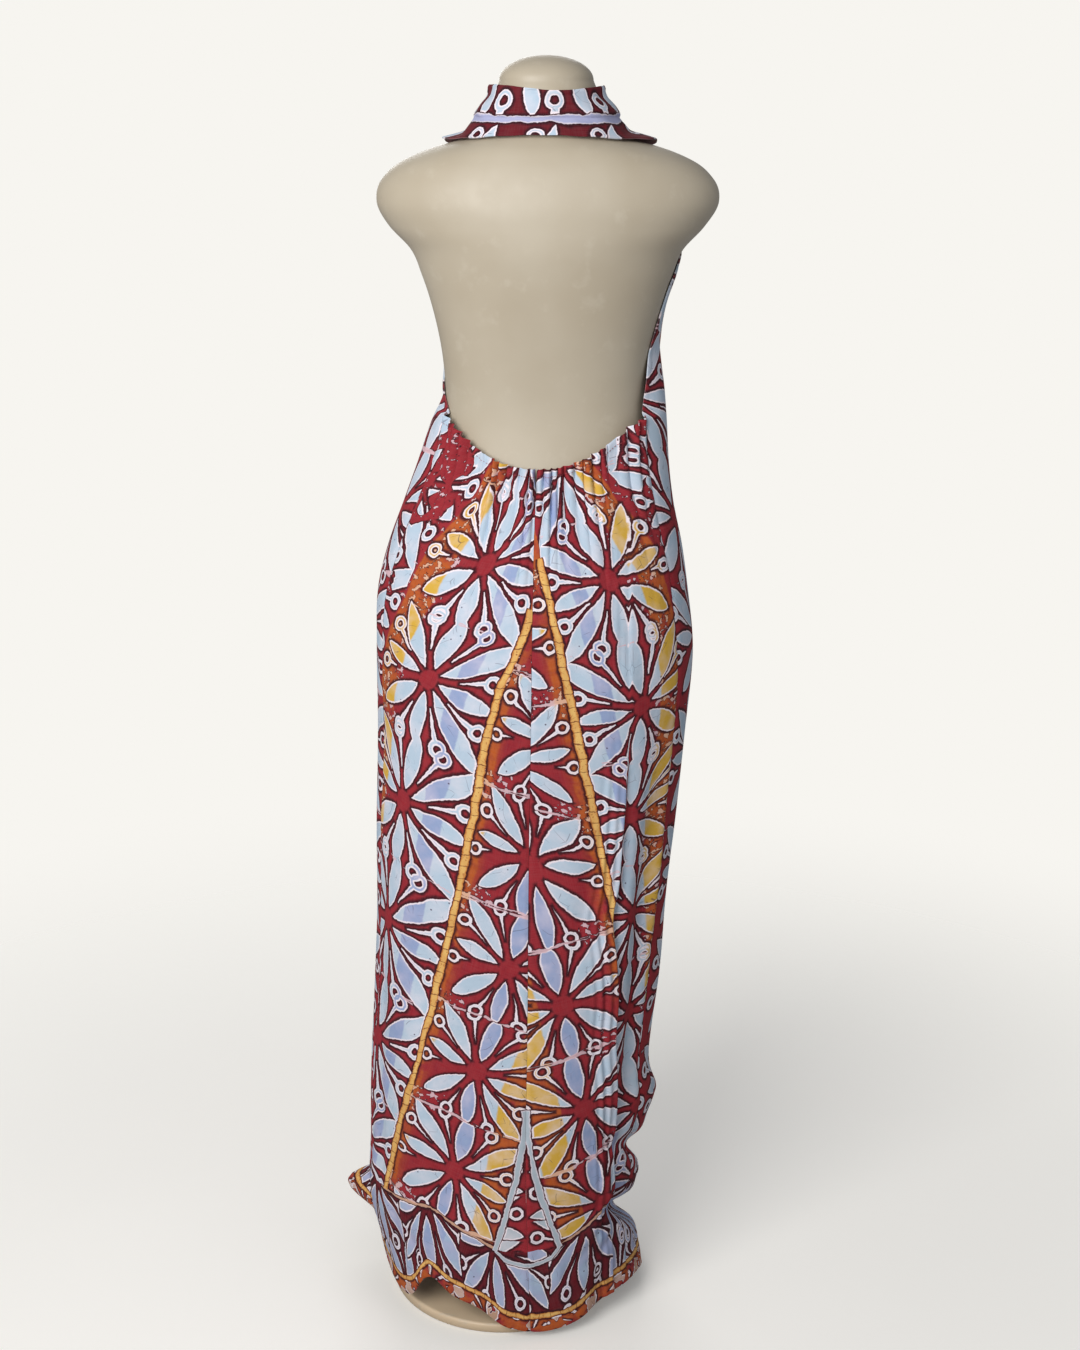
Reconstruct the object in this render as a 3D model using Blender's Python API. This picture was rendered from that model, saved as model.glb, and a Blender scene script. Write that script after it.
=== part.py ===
"""Halter maxi dress of stamped cotton, open to the low back, on a limbless dress form.

Metres, +Z up. The wearer's front faces -Y, the wearer's left is +X. The origin is the centre
of the base plate's underside. Angles run round the upright axis of the body from the centre
back: 0 is the centre back, +90 degrees the wearer's left side, 180 the centre front.
"""

import bmesh
import bpy
import numpy as np

# Form, pole and base
BASE_RADIUS = 0.145
BASE_THICKNESS = 0.012
BASE_EDGE = 0.004
BASE_FOOT_EDGE = 0.001
POLE_RADIUS = 0.0125
POLE_X = -0.012
SEAT_GAP = 0.0003
FORM_UNDERSIDE = 0.780
FORM_RIM = 0.012
NECK_TOP = 1.540
BUST_ANGLE = 37.0
BUST_HEIGHT = 1.287
BUST_SPREAD = 19.0
BUST_TALL = 0.040
BUST_RISE = 0.040

# Cloth
WALL = 0.0020
COLLAR_WALL = 0.0026
SEAM_GAP = 0.0003
FORM_CLEARANCE = 0.0027
COLLAR_CLEARANCE = 0.0010
SOFTNESS = 0.004
SECTION_POWER = 2.2
SIDE_SEAM = 70.0
SIDE_SEAM_TOP = 1.148
LOW_BACK = 1.092
GATHERS_A_SIDE = 8
GATHER_DEPTH = 0.0019
GATHER_REACH = 0.060
GATHER_WANDER = 0.035
GATHER_UNEVENNESS = 0.28
FOLD_SWELLS_OVER = 0.45
FOLD_FADES_FROM = 0.75

# Points round each piece, and the back panels' rows that carry the gathers at twice the number
BASE_POINTS = 48
POLE_POINTS = 20
FORM_POINTS = 36
COLLAR_POINTS = 40
FRONT_SPANS = 36
BACK_SPANS = 18
BACK_GATHERED_ROWS = 6

# Heights of the form's rows, close together where the shoulders turn in to the neck
FORM_TRUNK_ROWS = tuple(np.linspace(FORM_UNDERSIDE + FORM_RIM, 1.298, 12))
FORM_SHOULDER_ROWS = tuple(np.linspace(1.314, 1.400, 8))
FORM_NECK_ROWS = (1.412, 1.422, 1.431, 1.439, 1.446, 1.453, 1.461, 1.471, 1.483, 1.497, 1.511)
FORM_CAP_ROWS = (1.522, 1.531, 1.537)

# Heights of the front's rows above its side seams: over the shoulders, the bust and the waist
FRONT_SHOULDER_ROWS = (1.456, 1.450, 1.444, 1.437, 1.429, 1.420, 1.410, 1.397)
FRONT_BUST_ROWS = (1.380, 1.360, 1.340, 1.322, 1.304, 1.285, 1.265, 1.245)
FRONT_WAIST_ROWS = (1.225, 1.205, 1.185, 1.170, 1.158)

# Rows of the skirt, as shares of the way from the low back's edge down to the hem
GATHERED_SHARES = (0.0, 0.013, 0.029, 0.049, 0.072, 0.100)
HANGING_SHARES = tuple(np.linspace(0.140, 0.720, 10))
BROKEN_SHARES = tuple(np.linspace(0.752, 1.0, 13))
SKIRT_SHARES = GATHERED_SHARES + HANGING_SHARES + BROKEN_SHARES

# The line the body stands on, which leans to the wearer's right from the base up
AXIS_COLUMNS = ("height", "x")
AXIS = (
    (0.00, 0.000),
    (0.20, -0.006),
    (0.50, -0.021),
    (0.86, -0.040),
    (1.10, -0.052),
    (1.20, -0.054),
    (1.54, -0.054),
)

# Half sizes of the form from that line
FORM_COLUMNS = ("height", "left", "right", "front", "back")
FORM = (
    (0.780, 0.160, 0.160, 0.098, 0.112),
    (0.840, 0.170, 0.170, 0.100, 0.120),
    (0.900, 0.172, 0.170, 0.100, 0.123),
    (0.960, 0.163, 0.160, 0.099, 0.115),
    (1.020, 0.146, 0.144, 0.096, 0.097),
    (1.080, 0.128, 0.127, 0.091, 0.080),
    (1.150, 0.1165, 0.118, 0.086, 0.073),
    (1.200, 0.119, 0.119, 0.087, 0.078),
    (1.250, 0.128, 0.128, 0.093, 0.086),
    (1.300, 0.143, 0.143, 0.100, 0.094),
    (1.330, 0.156, 0.155, 0.100, 0.098),
    (1.355, 0.180, 0.178, 0.098, 0.099),
    (1.383, 0.194, 0.194, 0.094, 0.098),
    (1.408, 0.186, 0.187, 0.088, 0.092),
    (1.427, 0.162, 0.164, 0.082, 0.085),
    (1.442, 0.124, 0.126, 0.076, 0.077),
    (1.449, 0.099, 0.100, 0.072, 0.071),
    (1.456, 0.079, 0.079, 0.067, 0.065),
    (1.465, 0.0665, 0.0665, 0.064, 0.061),
    (1.476, 0.0605, 0.0605, 0.061, 0.058),
    (1.490, 0.0580, 0.0580, 0.060, 0.057),
    (1.503, 0.0562, 0.0562, 0.059, 0.0555),
    (1.513, 0.0524, 0.0524, 0.055, 0.0520),
    (1.522, 0.0494, 0.0494, 0.0518, 0.0490),
    (1.531, 0.0390, 0.0390, 0.041, 0.0388),
    (1.537, 0.0240, 0.0240, 0.0252, 0.0240),
)

# Half sizes of the dress from the same line, before its folds
DRESS_COLUMNS = ("height", "left", "right", "front", "back")
DRESS = (
    (0.000, 0.152, 0.179, 0.184, 0.160),
    (0.070, 0.162, 0.172, 0.178, 0.161),
    (0.130, 0.176, 0.168, 0.172, 0.162),
    (0.220, 0.179, 0.176, 0.163, 0.159),
    (0.334, 0.1805, 0.1745, 0.156, 0.156),
    (0.446, 0.179, 0.181, 0.150, 0.153),
    (0.555, 0.181, 0.184, 0.145, 0.151),
    (0.661, 0.1835, 0.1875, 0.141, 0.149),
    (0.765, 0.184, 0.190, 0.137, 0.147),
    (0.866, 0.190, 0.190, 0.132, 0.142),
    (0.941, 0.190, 0.177, 0.126, 0.131),
    (0.989, 0.180, 0.167, 0.121, 0.117),
    (1.038, 0.164, 0.154, 0.117, 0.100),
    (1.086, 0.148, 0.146, 0.115, 0.083),
    (1.133, 0.1325, 0.1415, 0.115, 0.077),
    (1.165, 0.119, 0.138, 0.116, 0.077),
    (1.225, 0.126, 0.131, 0.120, 0.082),
    (1.270, 0.138, 0.137, 0.122, 0.090),
    (1.316, 0.150, 0.155, 0.112, 0.098),
    (1.350, 0.160, 0.160, 0.090, 0.090),
    (1.400, 0.110, 0.110, 0.070, 0.070),
    (1.460, 0.050, 0.050, 0.050, 0.050),
)

# Long soft folds of the dress: where each hangs, how wide and how proud (+) or sunk (-) it is
FOLD_COLUMNS = ("top_angle", "foot_angle", "top", "foot", "spread", "rise")
FOLDS = (
    (143.0, 140.0, 1.250, 0.900, 14.0, 0.020),
    (217.0, 221.0, 1.250, 0.930, 14.0, 0.020),
    (180.0, 178.0, 1.180, 0.150, 9.0, -0.008),
    (158.0, 156.0, 1.050, 0.080, 8.0, 0.009),
    (133.0, 131.0, 0.960, 0.050, 8.0, -0.009),
    (112.0, 113.0, 0.900, 0.060, 7.0, 0.007),
    (93.0, 96.0, 0.860, 0.140, 6.0, -0.007),
    (199.0, 203.0, 1.080, 0.060, 8.0, 0.010),
    (224.0, 227.0, 0.980, 0.100, 8.0, -0.010),
    (247.0, 246.0, 0.930, 0.080, 7.0, 0.008),
    (266.0, 268.0, 0.880, 0.300, 6.0, -0.006),
    (299.0, 297.0, 0.860, 0.180, 6.0, -0.009),
    (312.0, 309.0, 0.820, 0.240, 7.0, 0.004),
    (40.0, 37.0, 0.520, 0.100, 9.0, 0.004),
    (20.0, 24.0, 0.400, 0.120, 7.0, -0.004),
)

# Breaks across the cloth, where its length piles up beside the base, and the flares of the hem
BREAK_COLUMNS = ("angle", "height", "spread", "tall", "rise", "climb")
BREAKS = (
    (264.0, 0.266, 30.0, 0.026, 0.013, 0.0012),
    (264.0, 0.190, 33.0, 0.016, -0.027, 0.0014),
    (264.0, 0.146, 30.0, 0.017, -0.001, 0.0014),
    (264.0, 0.096, 34.0, 0.019, -0.040, 0.0014),
    (281.0, 0.018, 15.0, 0.021, 0.011, 0.0),
    (308.0, 0.040, 7.0, 0.050, -0.010, 0.0),
    (104.0, 0.087, 12.0, 0.025, 0.061, 0.0),
    (52.0, 0.165, 20.0, 0.030, 0.003, 0.0006),
    (204.0, 0.100, 22.0, 0.050, 0.008, 0.0),
    (160.0, 0.120, 18.0, 0.026, -0.006, -0.0004),
)

# The hem's height round the dress
HEM_COLUMNS = ("angle", "height")
HEM = (
    (-16.0, 0.012),
    (-7.0, 0.020),
    (4.0, 0.045),
    (17.0, 0.058),
    (30.0, 0.072),
    (38.0, 0.040),
    (47.0, 0.031),
    (58.0, 0.038),
    (72.0, 0.060),
    (90.0, 0.076),
    (104.0, 0.084),
    (122.0, 0.068),
    (146.0, 0.030),
    (180.0, 0.010),
    (220.0, 0.012),
    (262.0, 0.018),
    (285.0, 0.035),
    (311.0, 0.026),
    (323.0, 0.016),
    (344.0, 0.012),
    (353.0, 0.020),
    (364.0, 0.045),
)

# Height of the low back's edge, on either side of the centre back
LOW_BACK_COLUMNS = ("angle", "height")
LOW_BACK_EDGE = (
    (0.0, LOW_BACK),
    (14.0, 1.0935),
    (30.0, 1.101),
    (44.0, 1.114),
    (54.0, 1.128),
    (62.0, 1.141),
    (SIDE_SEAM, SIDE_SEAM_TOP),
)

# The centre back seam, which hangs plumb while the body's line leans
CENTRE_SEAM_COLUMNS = ("height", "angle")
CENTRE_SEAM = (
    (0.000, -18.5),
    (0.110, -16.0),
    (0.235, -13.8),
    (0.413, -11.5),
    (0.643, -8.0),
    (0.940, -3.4),
    (LOW_BACK, 0.0),
    (SIDE_SEAM_TOP, 0.0),
)

# Free edges of the halter front, from the side seams up over the shoulders
ARMHOLE_COLUMNS = ("height", "left", "right")
ARMHOLE = (
    (1.148, 70.0, 70.0),
    (1.165, 80.0, 71.5),
    (1.185, 92.0, 74.5),
    (1.225, 98.0, 80.0),
    (1.265, 98.0, 84.0),
    (1.300, 100.0, 87.0),
    (1.320, 107.0, 95.0),
    (1.340, 118.0, 112.0),
    (1.360, 123.0, 121.0),
    (1.385, 124.0, 123.0),
    (1.410, 121.0, 121.0),
    (1.432, 118.0, 118.0),
    (1.447, 112.0, 112.0),
    (1.456, 104.0, 104.0),
)
HALTER_TOP = FRONT_SHOULDER_ROWS[0]
HALTER_DIP = 0.033
HALTER_DIP_START = 1.300

# Rows of the folded collar, from its top edge over the crease to its lower edge
COLLAR_ROW_COLUMNS = ("back_height", "side_height", "front_height", "back", "side", "front")
COLLAR = (
    (1.5060, 1.5080, 1.4930, 0.0530, 0.0535, 0.0580),
    (1.4980, 1.4990, 1.4800, 0.0570, 0.0610, 0.0640),
    (1.4870, 1.4880, 1.4660, 0.0625, 0.0735, 0.0720),
    (1.4770, 1.4780, 1.4550, 0.0665, 0.0810, 0.0780),
    (1.4725, 1.4725, 1.4500, 0.0650, 0.0815, 0.0780),
    (1.4650, 1.4630, 1.4370, 0.0700, 0.0890, 0.0840),
    (1.4560, 1.4520, 1.4120, 0.0720, 0.0980, 0.0880),
)

COLOURS = {
    "form": ((0.55, 0.46, 0.34), 0.38, 0.0),
    "cloth_left": ((0.36, 0.05, 0.07), 0.80, 0.0),
    "cloth_right": ((0.42, 0.07, 0.08), 0.80, 0.0),
    "cloth_front": ((0.50, 0.58, 0.70), 0.80, 0.0),
    "metal": ((0.62, 0.60, 0.57), 0.30, 1.0),
}


def smooth_column(table, columns, name, at):
    """A cubic through one named column of a table, over the table's first column.

    The slope at each row is the mean of the slopes on its two sides, weighted by the spacing.
    """
    knots = np.array([row[0] for row in table], dtype=float)
    values = np.array([row[columns.index(name)] for row in table], dtype=float)
    at = np.clip(np.asarray(at, dtype=float), knots[0], knots[-1])
    spans = np.diff(knots)
    steps = np.diff(values) / spans
    slopes = np.empty_like(values)
    slopes[0] = steps[0]
    slopes[-1] = steps[-1]
    slopes[1:-1] = (steps[:-1] * spans[1:] + steps[1:] * spans[:-1]) / (spans[1:] + spans[:-1])
    row = np.clip(np.searchsorted(knots, at, side="right") - 1, 0, len(spans) - 1)
    part = (at - knots[row]) / spans[row]
    return (
        values[row] * (2 * part**3 - 3 * part**2 + 1)
        + spans[row] * slopes[row] * (part**3 - 2 * part**2 + part)
        + values[row + 1] * (3 * part**2 - 2 * part**3)
        + spans[row] * slopes[row + 1] * (part**3 - part**2)
    )


def ease(low, high, at):
    """0 at low, 1 at high, and a soft step between them."""
    part = np.clip((at - low) / (high - low), 0.0, 1.0)
    return part * part * (3.0 - 2.0 * part)


def larger(first, second):
    """The larger of two radii, with the meeting of the two rounded off."""
    return 0.5 * (first + second + np.sqrt((first - second) ** 2 + SOFTNESS**2))


def turn_between(angle, centre):
    """Angle from a centre, in degrees, the short way round."""
    return (angle - centre + 180.0) % 360.0 - 180.0


def section_radius(angle, left, right, front, back):
    """Radius of a rounded section, a superellipse with its own half size on each of four sides."""
    sine = np.sin(np.radians(angle))
    cosine = np.cos(np.radians(angle))
    across = np.where(sine >= 0.0, left, right)
    along = np.where(cosine >= 0.0, back, front)
    total = np.abs(sine / across) ** SECTION_POWER + np.abs(cosine / along) ** SECTION_POWER
    return total ** (-1.0 / SECTION_POWER)


def form_radius(angle, height):
    """Radius of the form: its section, and two soft rises for the bust."""
    sizes = [smooth_column(FORM, FORM_COLUMNS, side, height) for side in FORM_COLUMNS[1:]]
    radius = section_radius(angle, *sizes)
    for side in (-1.0, 1.0):
        away = turn_between(angle, 180.0 + side * BUST_ANGLE) / BUST_SPREAD
        level = (height - BUST_HEIGHT) / BUST_TALL
        radius = radius + BUST_RISE * np.exp(-(away**2) - level**2)
    return radius


def clear_radius(surface, angle, height, distance):
    """Radius of a face that lies a given distance off another surface, measured square to it."""
    rise = 0.002
    turn = 1.0
    radius = surface(angle, height)
    slope = (surface(angle, height + rise) - surface(angle, height - rise)) / (2 * rise)
    across = radius * np.radians(2 * turn)
    lean = (surface(angle + turn, height) - surface(angle - turn, height)) / across
    return radius + distance * np.sqrt(1.0 + slope**2 + lean**2)


def low_back_height(angle):
    """Height of the low back's edge."""
    return smooth_column(LOW_BACK_EDGE, LOW_BACK_COLUMNS, "height", np.abs(turn_between(angle, 0.0)))


def near_low_back(angle, height):
    """1 at the low back's gathered edge, fading below it and towards the side seams."""
    below = np.maximum(low_back_height(angle) - height, 0.0)
    behind = 1.0 - ease(SIDE_SEAM - 5.0, SIDE_SEAM, np.abs(turn_between(angle, 0.0)))
    return np.exp(-((below / GATHER_REACH) ** 1.3)) * behind


def gather_relief(angle, height):
    """Uneven gathers under the low back's edge, all of them outside the smooth panel.

    A cosine over each panel's width, whose crests are moved and lowered by slower sines.
    """
    turn = turn_between(angle, 0.0)
    panel = np.sign(turn)
    share = np.abs(turn) / SIDE_SEAM
    wander = GATHER_WANDER * np.sin(7.3 * share + panel)
    strength = 1.0 - GATHER_UNEVENNESS * (1.0 - np.sin(11.0 * share + 2.1 * panel))
    wave = 1.0 + strength * np.cos(2.0 * np.pi * GATHERS_A_SIDE * (share + wander))
    return GATHER_DEPTH * wave * near_low_back(angle, height)


def fold_relief(angle, height):
    """Sum of the long folds and of the breaks across them."""
    relief = np.zeros_like(angle, dtype=float)
    for row in FOLDS:
        fold = dict(zip(FOLD_COLUMNS, row))
        part = np.clip((fold["top"] - height) / (fold["top"] - fold["foot"]), 0.0, 1.0)
        centre = fold["top_angle"] + (fold["foot_angle"] - fold["top_angle"]) * part
        swell = ease(0.0, FOLD_SWELLS_OVER, part) * (1.0 - 0.75 * ease(FOLD_FADES_FROM, 1.0, part))
        away = turn_between(angle, centre) / fold["spread"]
        relief = relief + fold["rise"] * swell * np.exp(-(away**2))
    for row in BREAKS:
        fold = dict(zip(BREAK_COLUMNS, row))
        turn = turn_between(angle, fold["angle"])
        above = (height - fold["height"] - fold["climb"] * turn) / fold["tall"]
        relief = relief + fold["rise"] * np.exp(-((turn / fold["spread"]) ** 2) - above**2)
    return relief


def dress_radius(angle, height):
    """Radius of the dress's outer face: section, folds and gathers, kept clear of the form."""
    sizes = [smooth_column(DRESS, DRESS_COLUMNS, side, height) for side in DRESS_COLUMNS[1:]]
    hanging = section_radius(angle, *sizes) + fold_relief(angle, height)
    level = np.maximum(height, FORM_UNDERSIDE)
    worn = larger(hanging, clear_radius(form_radius, angle, level, WALL + FORM_CLEARANCE))
    beside_form = ease(FORM_UNDERSIDE - 0.10, FORM_UNDERSIDE - 0.02, height)
    return hanging + (worn - hanging) * beside_form + gather_relief(angle, height)


def to_points(angle, height, radius):
    """Points at a radius and an angle round the body's line."""
    x = smooth_column(AXIS, AXIS_COLUMNS, "x", height) + radius * np.sin(np.radians(angle))
    y = radius * np.cos(np.radians(angle))
    return np.stack([x, y, np.broadcast_to(height, x.shape)], axis=-1)


def dress_points(angle, height):
    """Points of the dress's outer face."""
    return to_points(angle, height, dress_radius(angle, height))


def dress_normals(angle, height):
    """Outward directions square to the dress's outer face."""
    turn = 0.4
    rise = 0.002
    around = dress_points(angle + turn, height) - dress_points(angle - turn, height)
    upward = dress_points(angle, height + rise) - dress_points(angle, height - rise)
    normal = np.cross(upward, around)
    return normal / np.linalg.norm(normal, axis=-1, keepdims=True)


def seat_angle(angle_of_edge, height, toward):
    """A seam's angle, drawn back by half the seam's gap."""
    edge = np.broadcast_to(angle_of_edge, np.shape(height))
    half_gap = np.degrees(0.5 * SEAM_GAP / dress_radius(edge, height))
    return angle_of_edge + toward * half_gap


def make_object(name, vertices, faces, colour):
    """A named object with its own material, its faces turned outwards and shaded smooth."""
    mesh = bpy.data.meshes.new(name)
    mesh.from_pydata([tuple(point) for point in vertices], [], faces)
    shape = bmesh.new()
    shape.from_mesh(mesh)
    bmesh.ops.recalc_face_normals(shape, faces=shape.faces)
    shape.to_mesh(mesh)
    shape.free()
    mesh.shade_smooth()
    mesh.set_sharp_from_angle(angle=np.radians(40.0))
    base_colour, roughness, metallic = COLOURS[colour]
    material = bpy.data.materials.new(name)
    material.use_nodes = True
    shader = material.node_tree.nodes["Principled BSDF"]
    shader.inputs["Base Color"].default_value = (*base_colour, 1.0)
    shader.inputs["Roughness"].default_value = roughness
    shader.inputs["Metallic"].default_value = metallic
    mesh.materials.append(material)
    piece = bpy.data.objects.new(name, mesh)
    bpy.context.collection.objects.link(piece)
    return piece


def strip_faces(upper, lower):
    """Faces between two rows of point numbers, of equal length or one with half the spans."""
    if len(upper) == len(lower):
        return [
            (upper[i], upper[i + 1], lower[i + 1], lower[i])
            for i in range(len(upper) - 1)
        ]
    faces = []
    for i in range(len(lower) - 1):
        faces.append((upper[2 * i], upper[2 * i + 1], lower[i]))
        faces.append((upper[2 * i + 1], lower[i + 1], lower[i]))
        faces.append((upper[2 * i + 1], upper[2 * i + 2], lower[i + 1]))
    return faces


def cloth_wall(name, angle_rows, height_rows, colour):
    """A panel of the dress: its outer face from the given rows, and an inner face a wall away."""
    outer_rows = []
    inner_rows = []
    for angle, height in zip(angle_rows, height_rows):
        outer = dress_points(angle, height)
        outer_rows.append(outer)
        inner_rows.append(outer - WALL * dress_normals(angle, height))
    vertices = np.concatenate(outer_rows + inner_rows)
    counts = [len(row) for row in outer_rows]
    starts = np.concatenate([[0], np.cumsum(counts)])
    total = int(starts[-1])
    numbers = [list(range(int(starts[i]), int(starts[i]) + counts[i])) for i in range(len(counts))]
    faces = []
    for upper, lower in zip(numbers[:-1], numbers[1:]):
        front = strip_faces(upper, lower)
        faces += front
        faces += [tuple(point + total for point in reversed(face)) for face in front]
        for side in (0, -1):
            faces.append((upper[side], lower[side], lower[side] + total, upper[side] + total))
    for row in (numbers[0], numbers[-1]):
        for i in range(len(row) - 1):
            faces.append((row[i], row[i + 1], row[i + 1] + total, row[i] + total))
    return make_object(name, vertices, faces, colour)


def closed_stack(name, rings, colour):
    """A closed solid through a stack of rings, with a fan over each end."""
    count = rings.shape[1]
    vertices = np.concatenate([rings.reshape(-1, 3), [rings[0].mean(axis=0), rings[-1].mean(axis=0)]])
    faces = []
    for row in range(len(rings) - 1):
        for i in range(count):
            after = (i + 1) % count
            faces.append(
                (row * count + i, row * count + after, (row + 1) * count + after, (row + 1) * count + i)
            )
    last = (len(rings) - 1) * count
    for i in range(count):
        after = (i + 1) % count
        faces.append((len(vertices) - 2, i, after))
        faces.append((len(vertices) - 1, last + after, last + i))
    return make_object(name, vertices, faces, colour)


def round_stack(name, centre_x, profile, columns, colour):
    """A turned solid from a short profile of radius and height."""
    turn = np.linspace(0.0, 2.0 * np.pi, columns, endpoint=False)
    rings = np.array(
        [
            np.stack(
                [centre_x + radius * np.sin(turn), radius * np.cos(turn), np.full_like(turn, height)],
                axis=-1,
            )
            for radius, height in profile
        ]
    )
    return closed_stack(name, rings, colour)


def build_base():
    """The round base plate, with its rim rounded at the top."""
    bevel = 0.3 * BASE_EDGE
    profile = (
        (BASE_RADIUS - BASE_FOOT_EDGE, 0.0),
        (BASE_RADIUS, BASE_FOOT_EDGE),
        (BASE_RADIUS, BASE_THICKNESS - BASE_EDGE),
        (BASE_RADIUS - bevel, BASE_THICKNESS - bevel),
        (BASE_RADIUS - BASE_EDGE, BASE_THICKNESS),
    )
    round_stack("base_plate", 0.0, profile, BASE_POINTS, "form")


def build_pole():
    """The pole from the base plate up to the form."""
    profile = (
        (POLE_RADIUS, BASE_THICKNESS + SEAT_GAP),
        (POLE_RADIUS, FORM_UNDERSIDE - SEAT_GAP),
    )
    round_stack("pole", POLE_X, profile, POLE_POINTS, "metal")


def build_form():
    """The body of the form, from its flat underside to the rounded cap of its neck."""
    angle = np.linspace(0.0, 360.0, FORM_POINTS, endpoint=False)
    rings = []
    for turned in (90.0, 45.0):
        draw = FORM_RIM * (1.0 - np.cos(np.radians(turned)))
        rise = FORM_RIM * (1.0 - np.sin(np.radians(turned)))
        height = np.full_like(angle, FORM_UNDERSIDE + rise)
        rings.append(to_points(angle, height, form_radius(angle, height) - draw))
    for level in FORM_TRUNK_ROWS + FORM_SHOULDER_ROWS + FORM_NECK_ROWS + FORM_CAP_ROWS:
        height = np.full_like(angle, level)
        rings.append(to_points(angle, height, form_radius(angle, height)))
    piece = closed_stack("dress_form", np.array(rings), "form")
    piece.data.vertices[len(piece.data.vertices) - 1].co.z = NECK_TOP


def hem_height(angle):
    """The hem's height at an angle."""
    around = (np.asarray(angle, dtype=float) + 16.0) % 360.0 - 16.0
    return smooth_column(HEM, HEM_COLUMNS, "height", around)


def build_back(side, name, colour):
    """One back panel, from the gathered low back to the hem, between the centre and side seams."""
    seam_at_hem = CENTRE_SEAM[0][1]
    angle_rows = []
    height_rows = []
    for row, share in enumerate(SKIRT_SHARES):
        spans = 2 * BACK_SPANS if row < BACK_GATHERED_ROWS else BACK_SPANS
        spread = np.linspace(0.0, 1.0, spans + 1)
        top = low_back_height(side * SIDE_SEAM * spread)
        hem = hem_height(seam_at_hem + (side * SIDE_SEAM - seam_at_hem) * spread)
        height = top + (hem - top) * share
        seam = smooth_column(CENTRE_SEAM, CENTRE_SEAM_COLUMNS, "angle", height)
        centre = seat_angle(seam, height, side)
        outer = seat_angle(side * SIDE_SEAM, height, -side)
        angle_rows.append(centre + (outer - centre) * spread)
        height_rows.append(height)
    cloth_wall(name, angle_rows, height_rows, colour)


def front_angles(height, spread):
    """Angles of a row of the front between the two side seams."""
    left = seat_angle(SIDE_SEAM, height, 1.0)
    right = seat_angle(360.0 - SIDE_SEAM, height, -1.0)
    return left + (right - left) * spread


def build_front():
    """The front, cut in one piece from the halter to the hem."""
    spread = np.linspace(0.0, 1.0, FRONT_SPANS + 1)
    angle_rows = []
    height_rows = []
    for level in FRONT_SHOULDER_ROWS + FRONT_BUST_ROWS + FRONT_WAIST_ROWS:
        left = smooth_column(ARMHOLE, ARMHOLE_COLUMNS, "left", level)
        right = 360.0 - smooth_column(ARMHOLE, ARMHOLE_COLUMNS, "right", level)
        angle = left + (right - left) * spread
        toward_front = np.maximum(-np.cos(np.radians(angle)), 0.0)
        dip = HALTER_DIP * ease(HALTER_DIP_START, HALTER_TOP, level) * toward_front
        angle_rows.append(angle)
        height_rows.append(level - dip)
    for share in SKIRT_SHARES:
        around = SIDE_SEAM + (360.0 - 2.0 * SIDE_SEAM) * spread
        height = SIDE_SEAM_TOP + (hem_height(around) - SIDE_SEAM_TOP) * share
        angle_rows.append(front_angles(height, spread))
        height_rows.append(height)
    cloth_wall("front_panel", angle_rows, height_rows, "cloth_front")


def collar_radius(angle, height, radius):
    """A collar row's radius, kept off the form and, in front, off the halter front too."""
    in_front = ease(0.30, 0.02, np.cos(np.radians(angle)))
    off_form = clear_radius(form_radius, angle, height, FORM_CLEARANCE + COLLAR_WALL)
    off_front = clear_radius(dress_radius, angle, height, COLLAR_CLEARANCE + COLLAR_WALL)
    return larger(radius, off_form + (off_front - off_form) * in_front)


def build_collar():
    """The folded collar: a band that stands at the neck, creases and spreads over the shoulders."""
    turn = np.linspace(0.0, 360.0, COLLAR_POINTS, endpoint=False)
    cosine = np.cos(np.radians(turn))
    behind = np.maximum(cosine, 0.0) ** 2
    before = np.maximum(-cosine, 0.0) ** 2
    outer = []
    for values in COLLAR:
        row = dict(zip(COLLAR_ROW_COLUMNS, values))
        beside = row["side_height"] * (1.0 - behind - before)
        height = row["back_height"] * behind + row["front_height"] * before + beside
        radius = section_radius(turn, row["side"], row["side"], row["front"], row["back"])
        outer.append(to_points(turn, height, collar_radius(turn, height, radius)))
    outer = np.array(outer)
    around = np.roll(outer, -1, axis=1) - np.roll(outer, 1, axis=1)
    down = np.gradient(outer, axis=0)
    normal = np.cross(around, down)
    normal /= np.linalg.norm(normal, axis=-1, keepdims=True)
    inner = outer - COLLAR_WALL * normal
    rows = len(outer)
    vertices = np.concatenate([outer.reshape(-1, 3), inner.reshape(-1, 3)])
    total = rows * COLLAR_POINTS
    faces = []
    for i in range(COLLAR_POINTS):
        after = (i + 1) % COLLAR_POINTS
        for row in range(rows - 1):
            upper = row * COLLAR_POINTS
            lower = upper + COLLAR_POINTS
            face = (upper + i, upper + after, lower + after, lower + i)
            faces.append(face)
            faces.append(tuple(total + point for point in reversed(face)))
        for edge in (0, (rows - 1) * COLLAR_POINTS):
            faces.append((edge + i, edge + after, total + edge + after, total + edge + i))
    make_object("neck_collar", vertices, faces, "cloth_front")


def build():
    """Clear the scene and build every piece."""
    for old in list(bpy.data.objects):
        bpy.data.objects.remove(old, do_unlink=True)
    build_base()
    build_pole()
    build_form()
    build_front()
    build_back(1.0, "back_left_panel", "cloth_left")
    build_back(-1.0, "back_right_panel", "cloth_right")
    build_collar()


build()
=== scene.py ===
"""Scene for a halter maxi dress of stamped cotton on a limbless dress form.

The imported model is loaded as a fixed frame. Each soft piece is a thin wall of cloth on the form
that its solid has, with its smaller creases, gathers, turned edges and seams.

Metres, +Z up. The wearer's front faces -Y, the wearer's left is +X. Angles run round the body's
line from the centre back: 0 is the centre back, +90 degrees the wearer's left, 180 the front.
"""

import math

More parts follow.
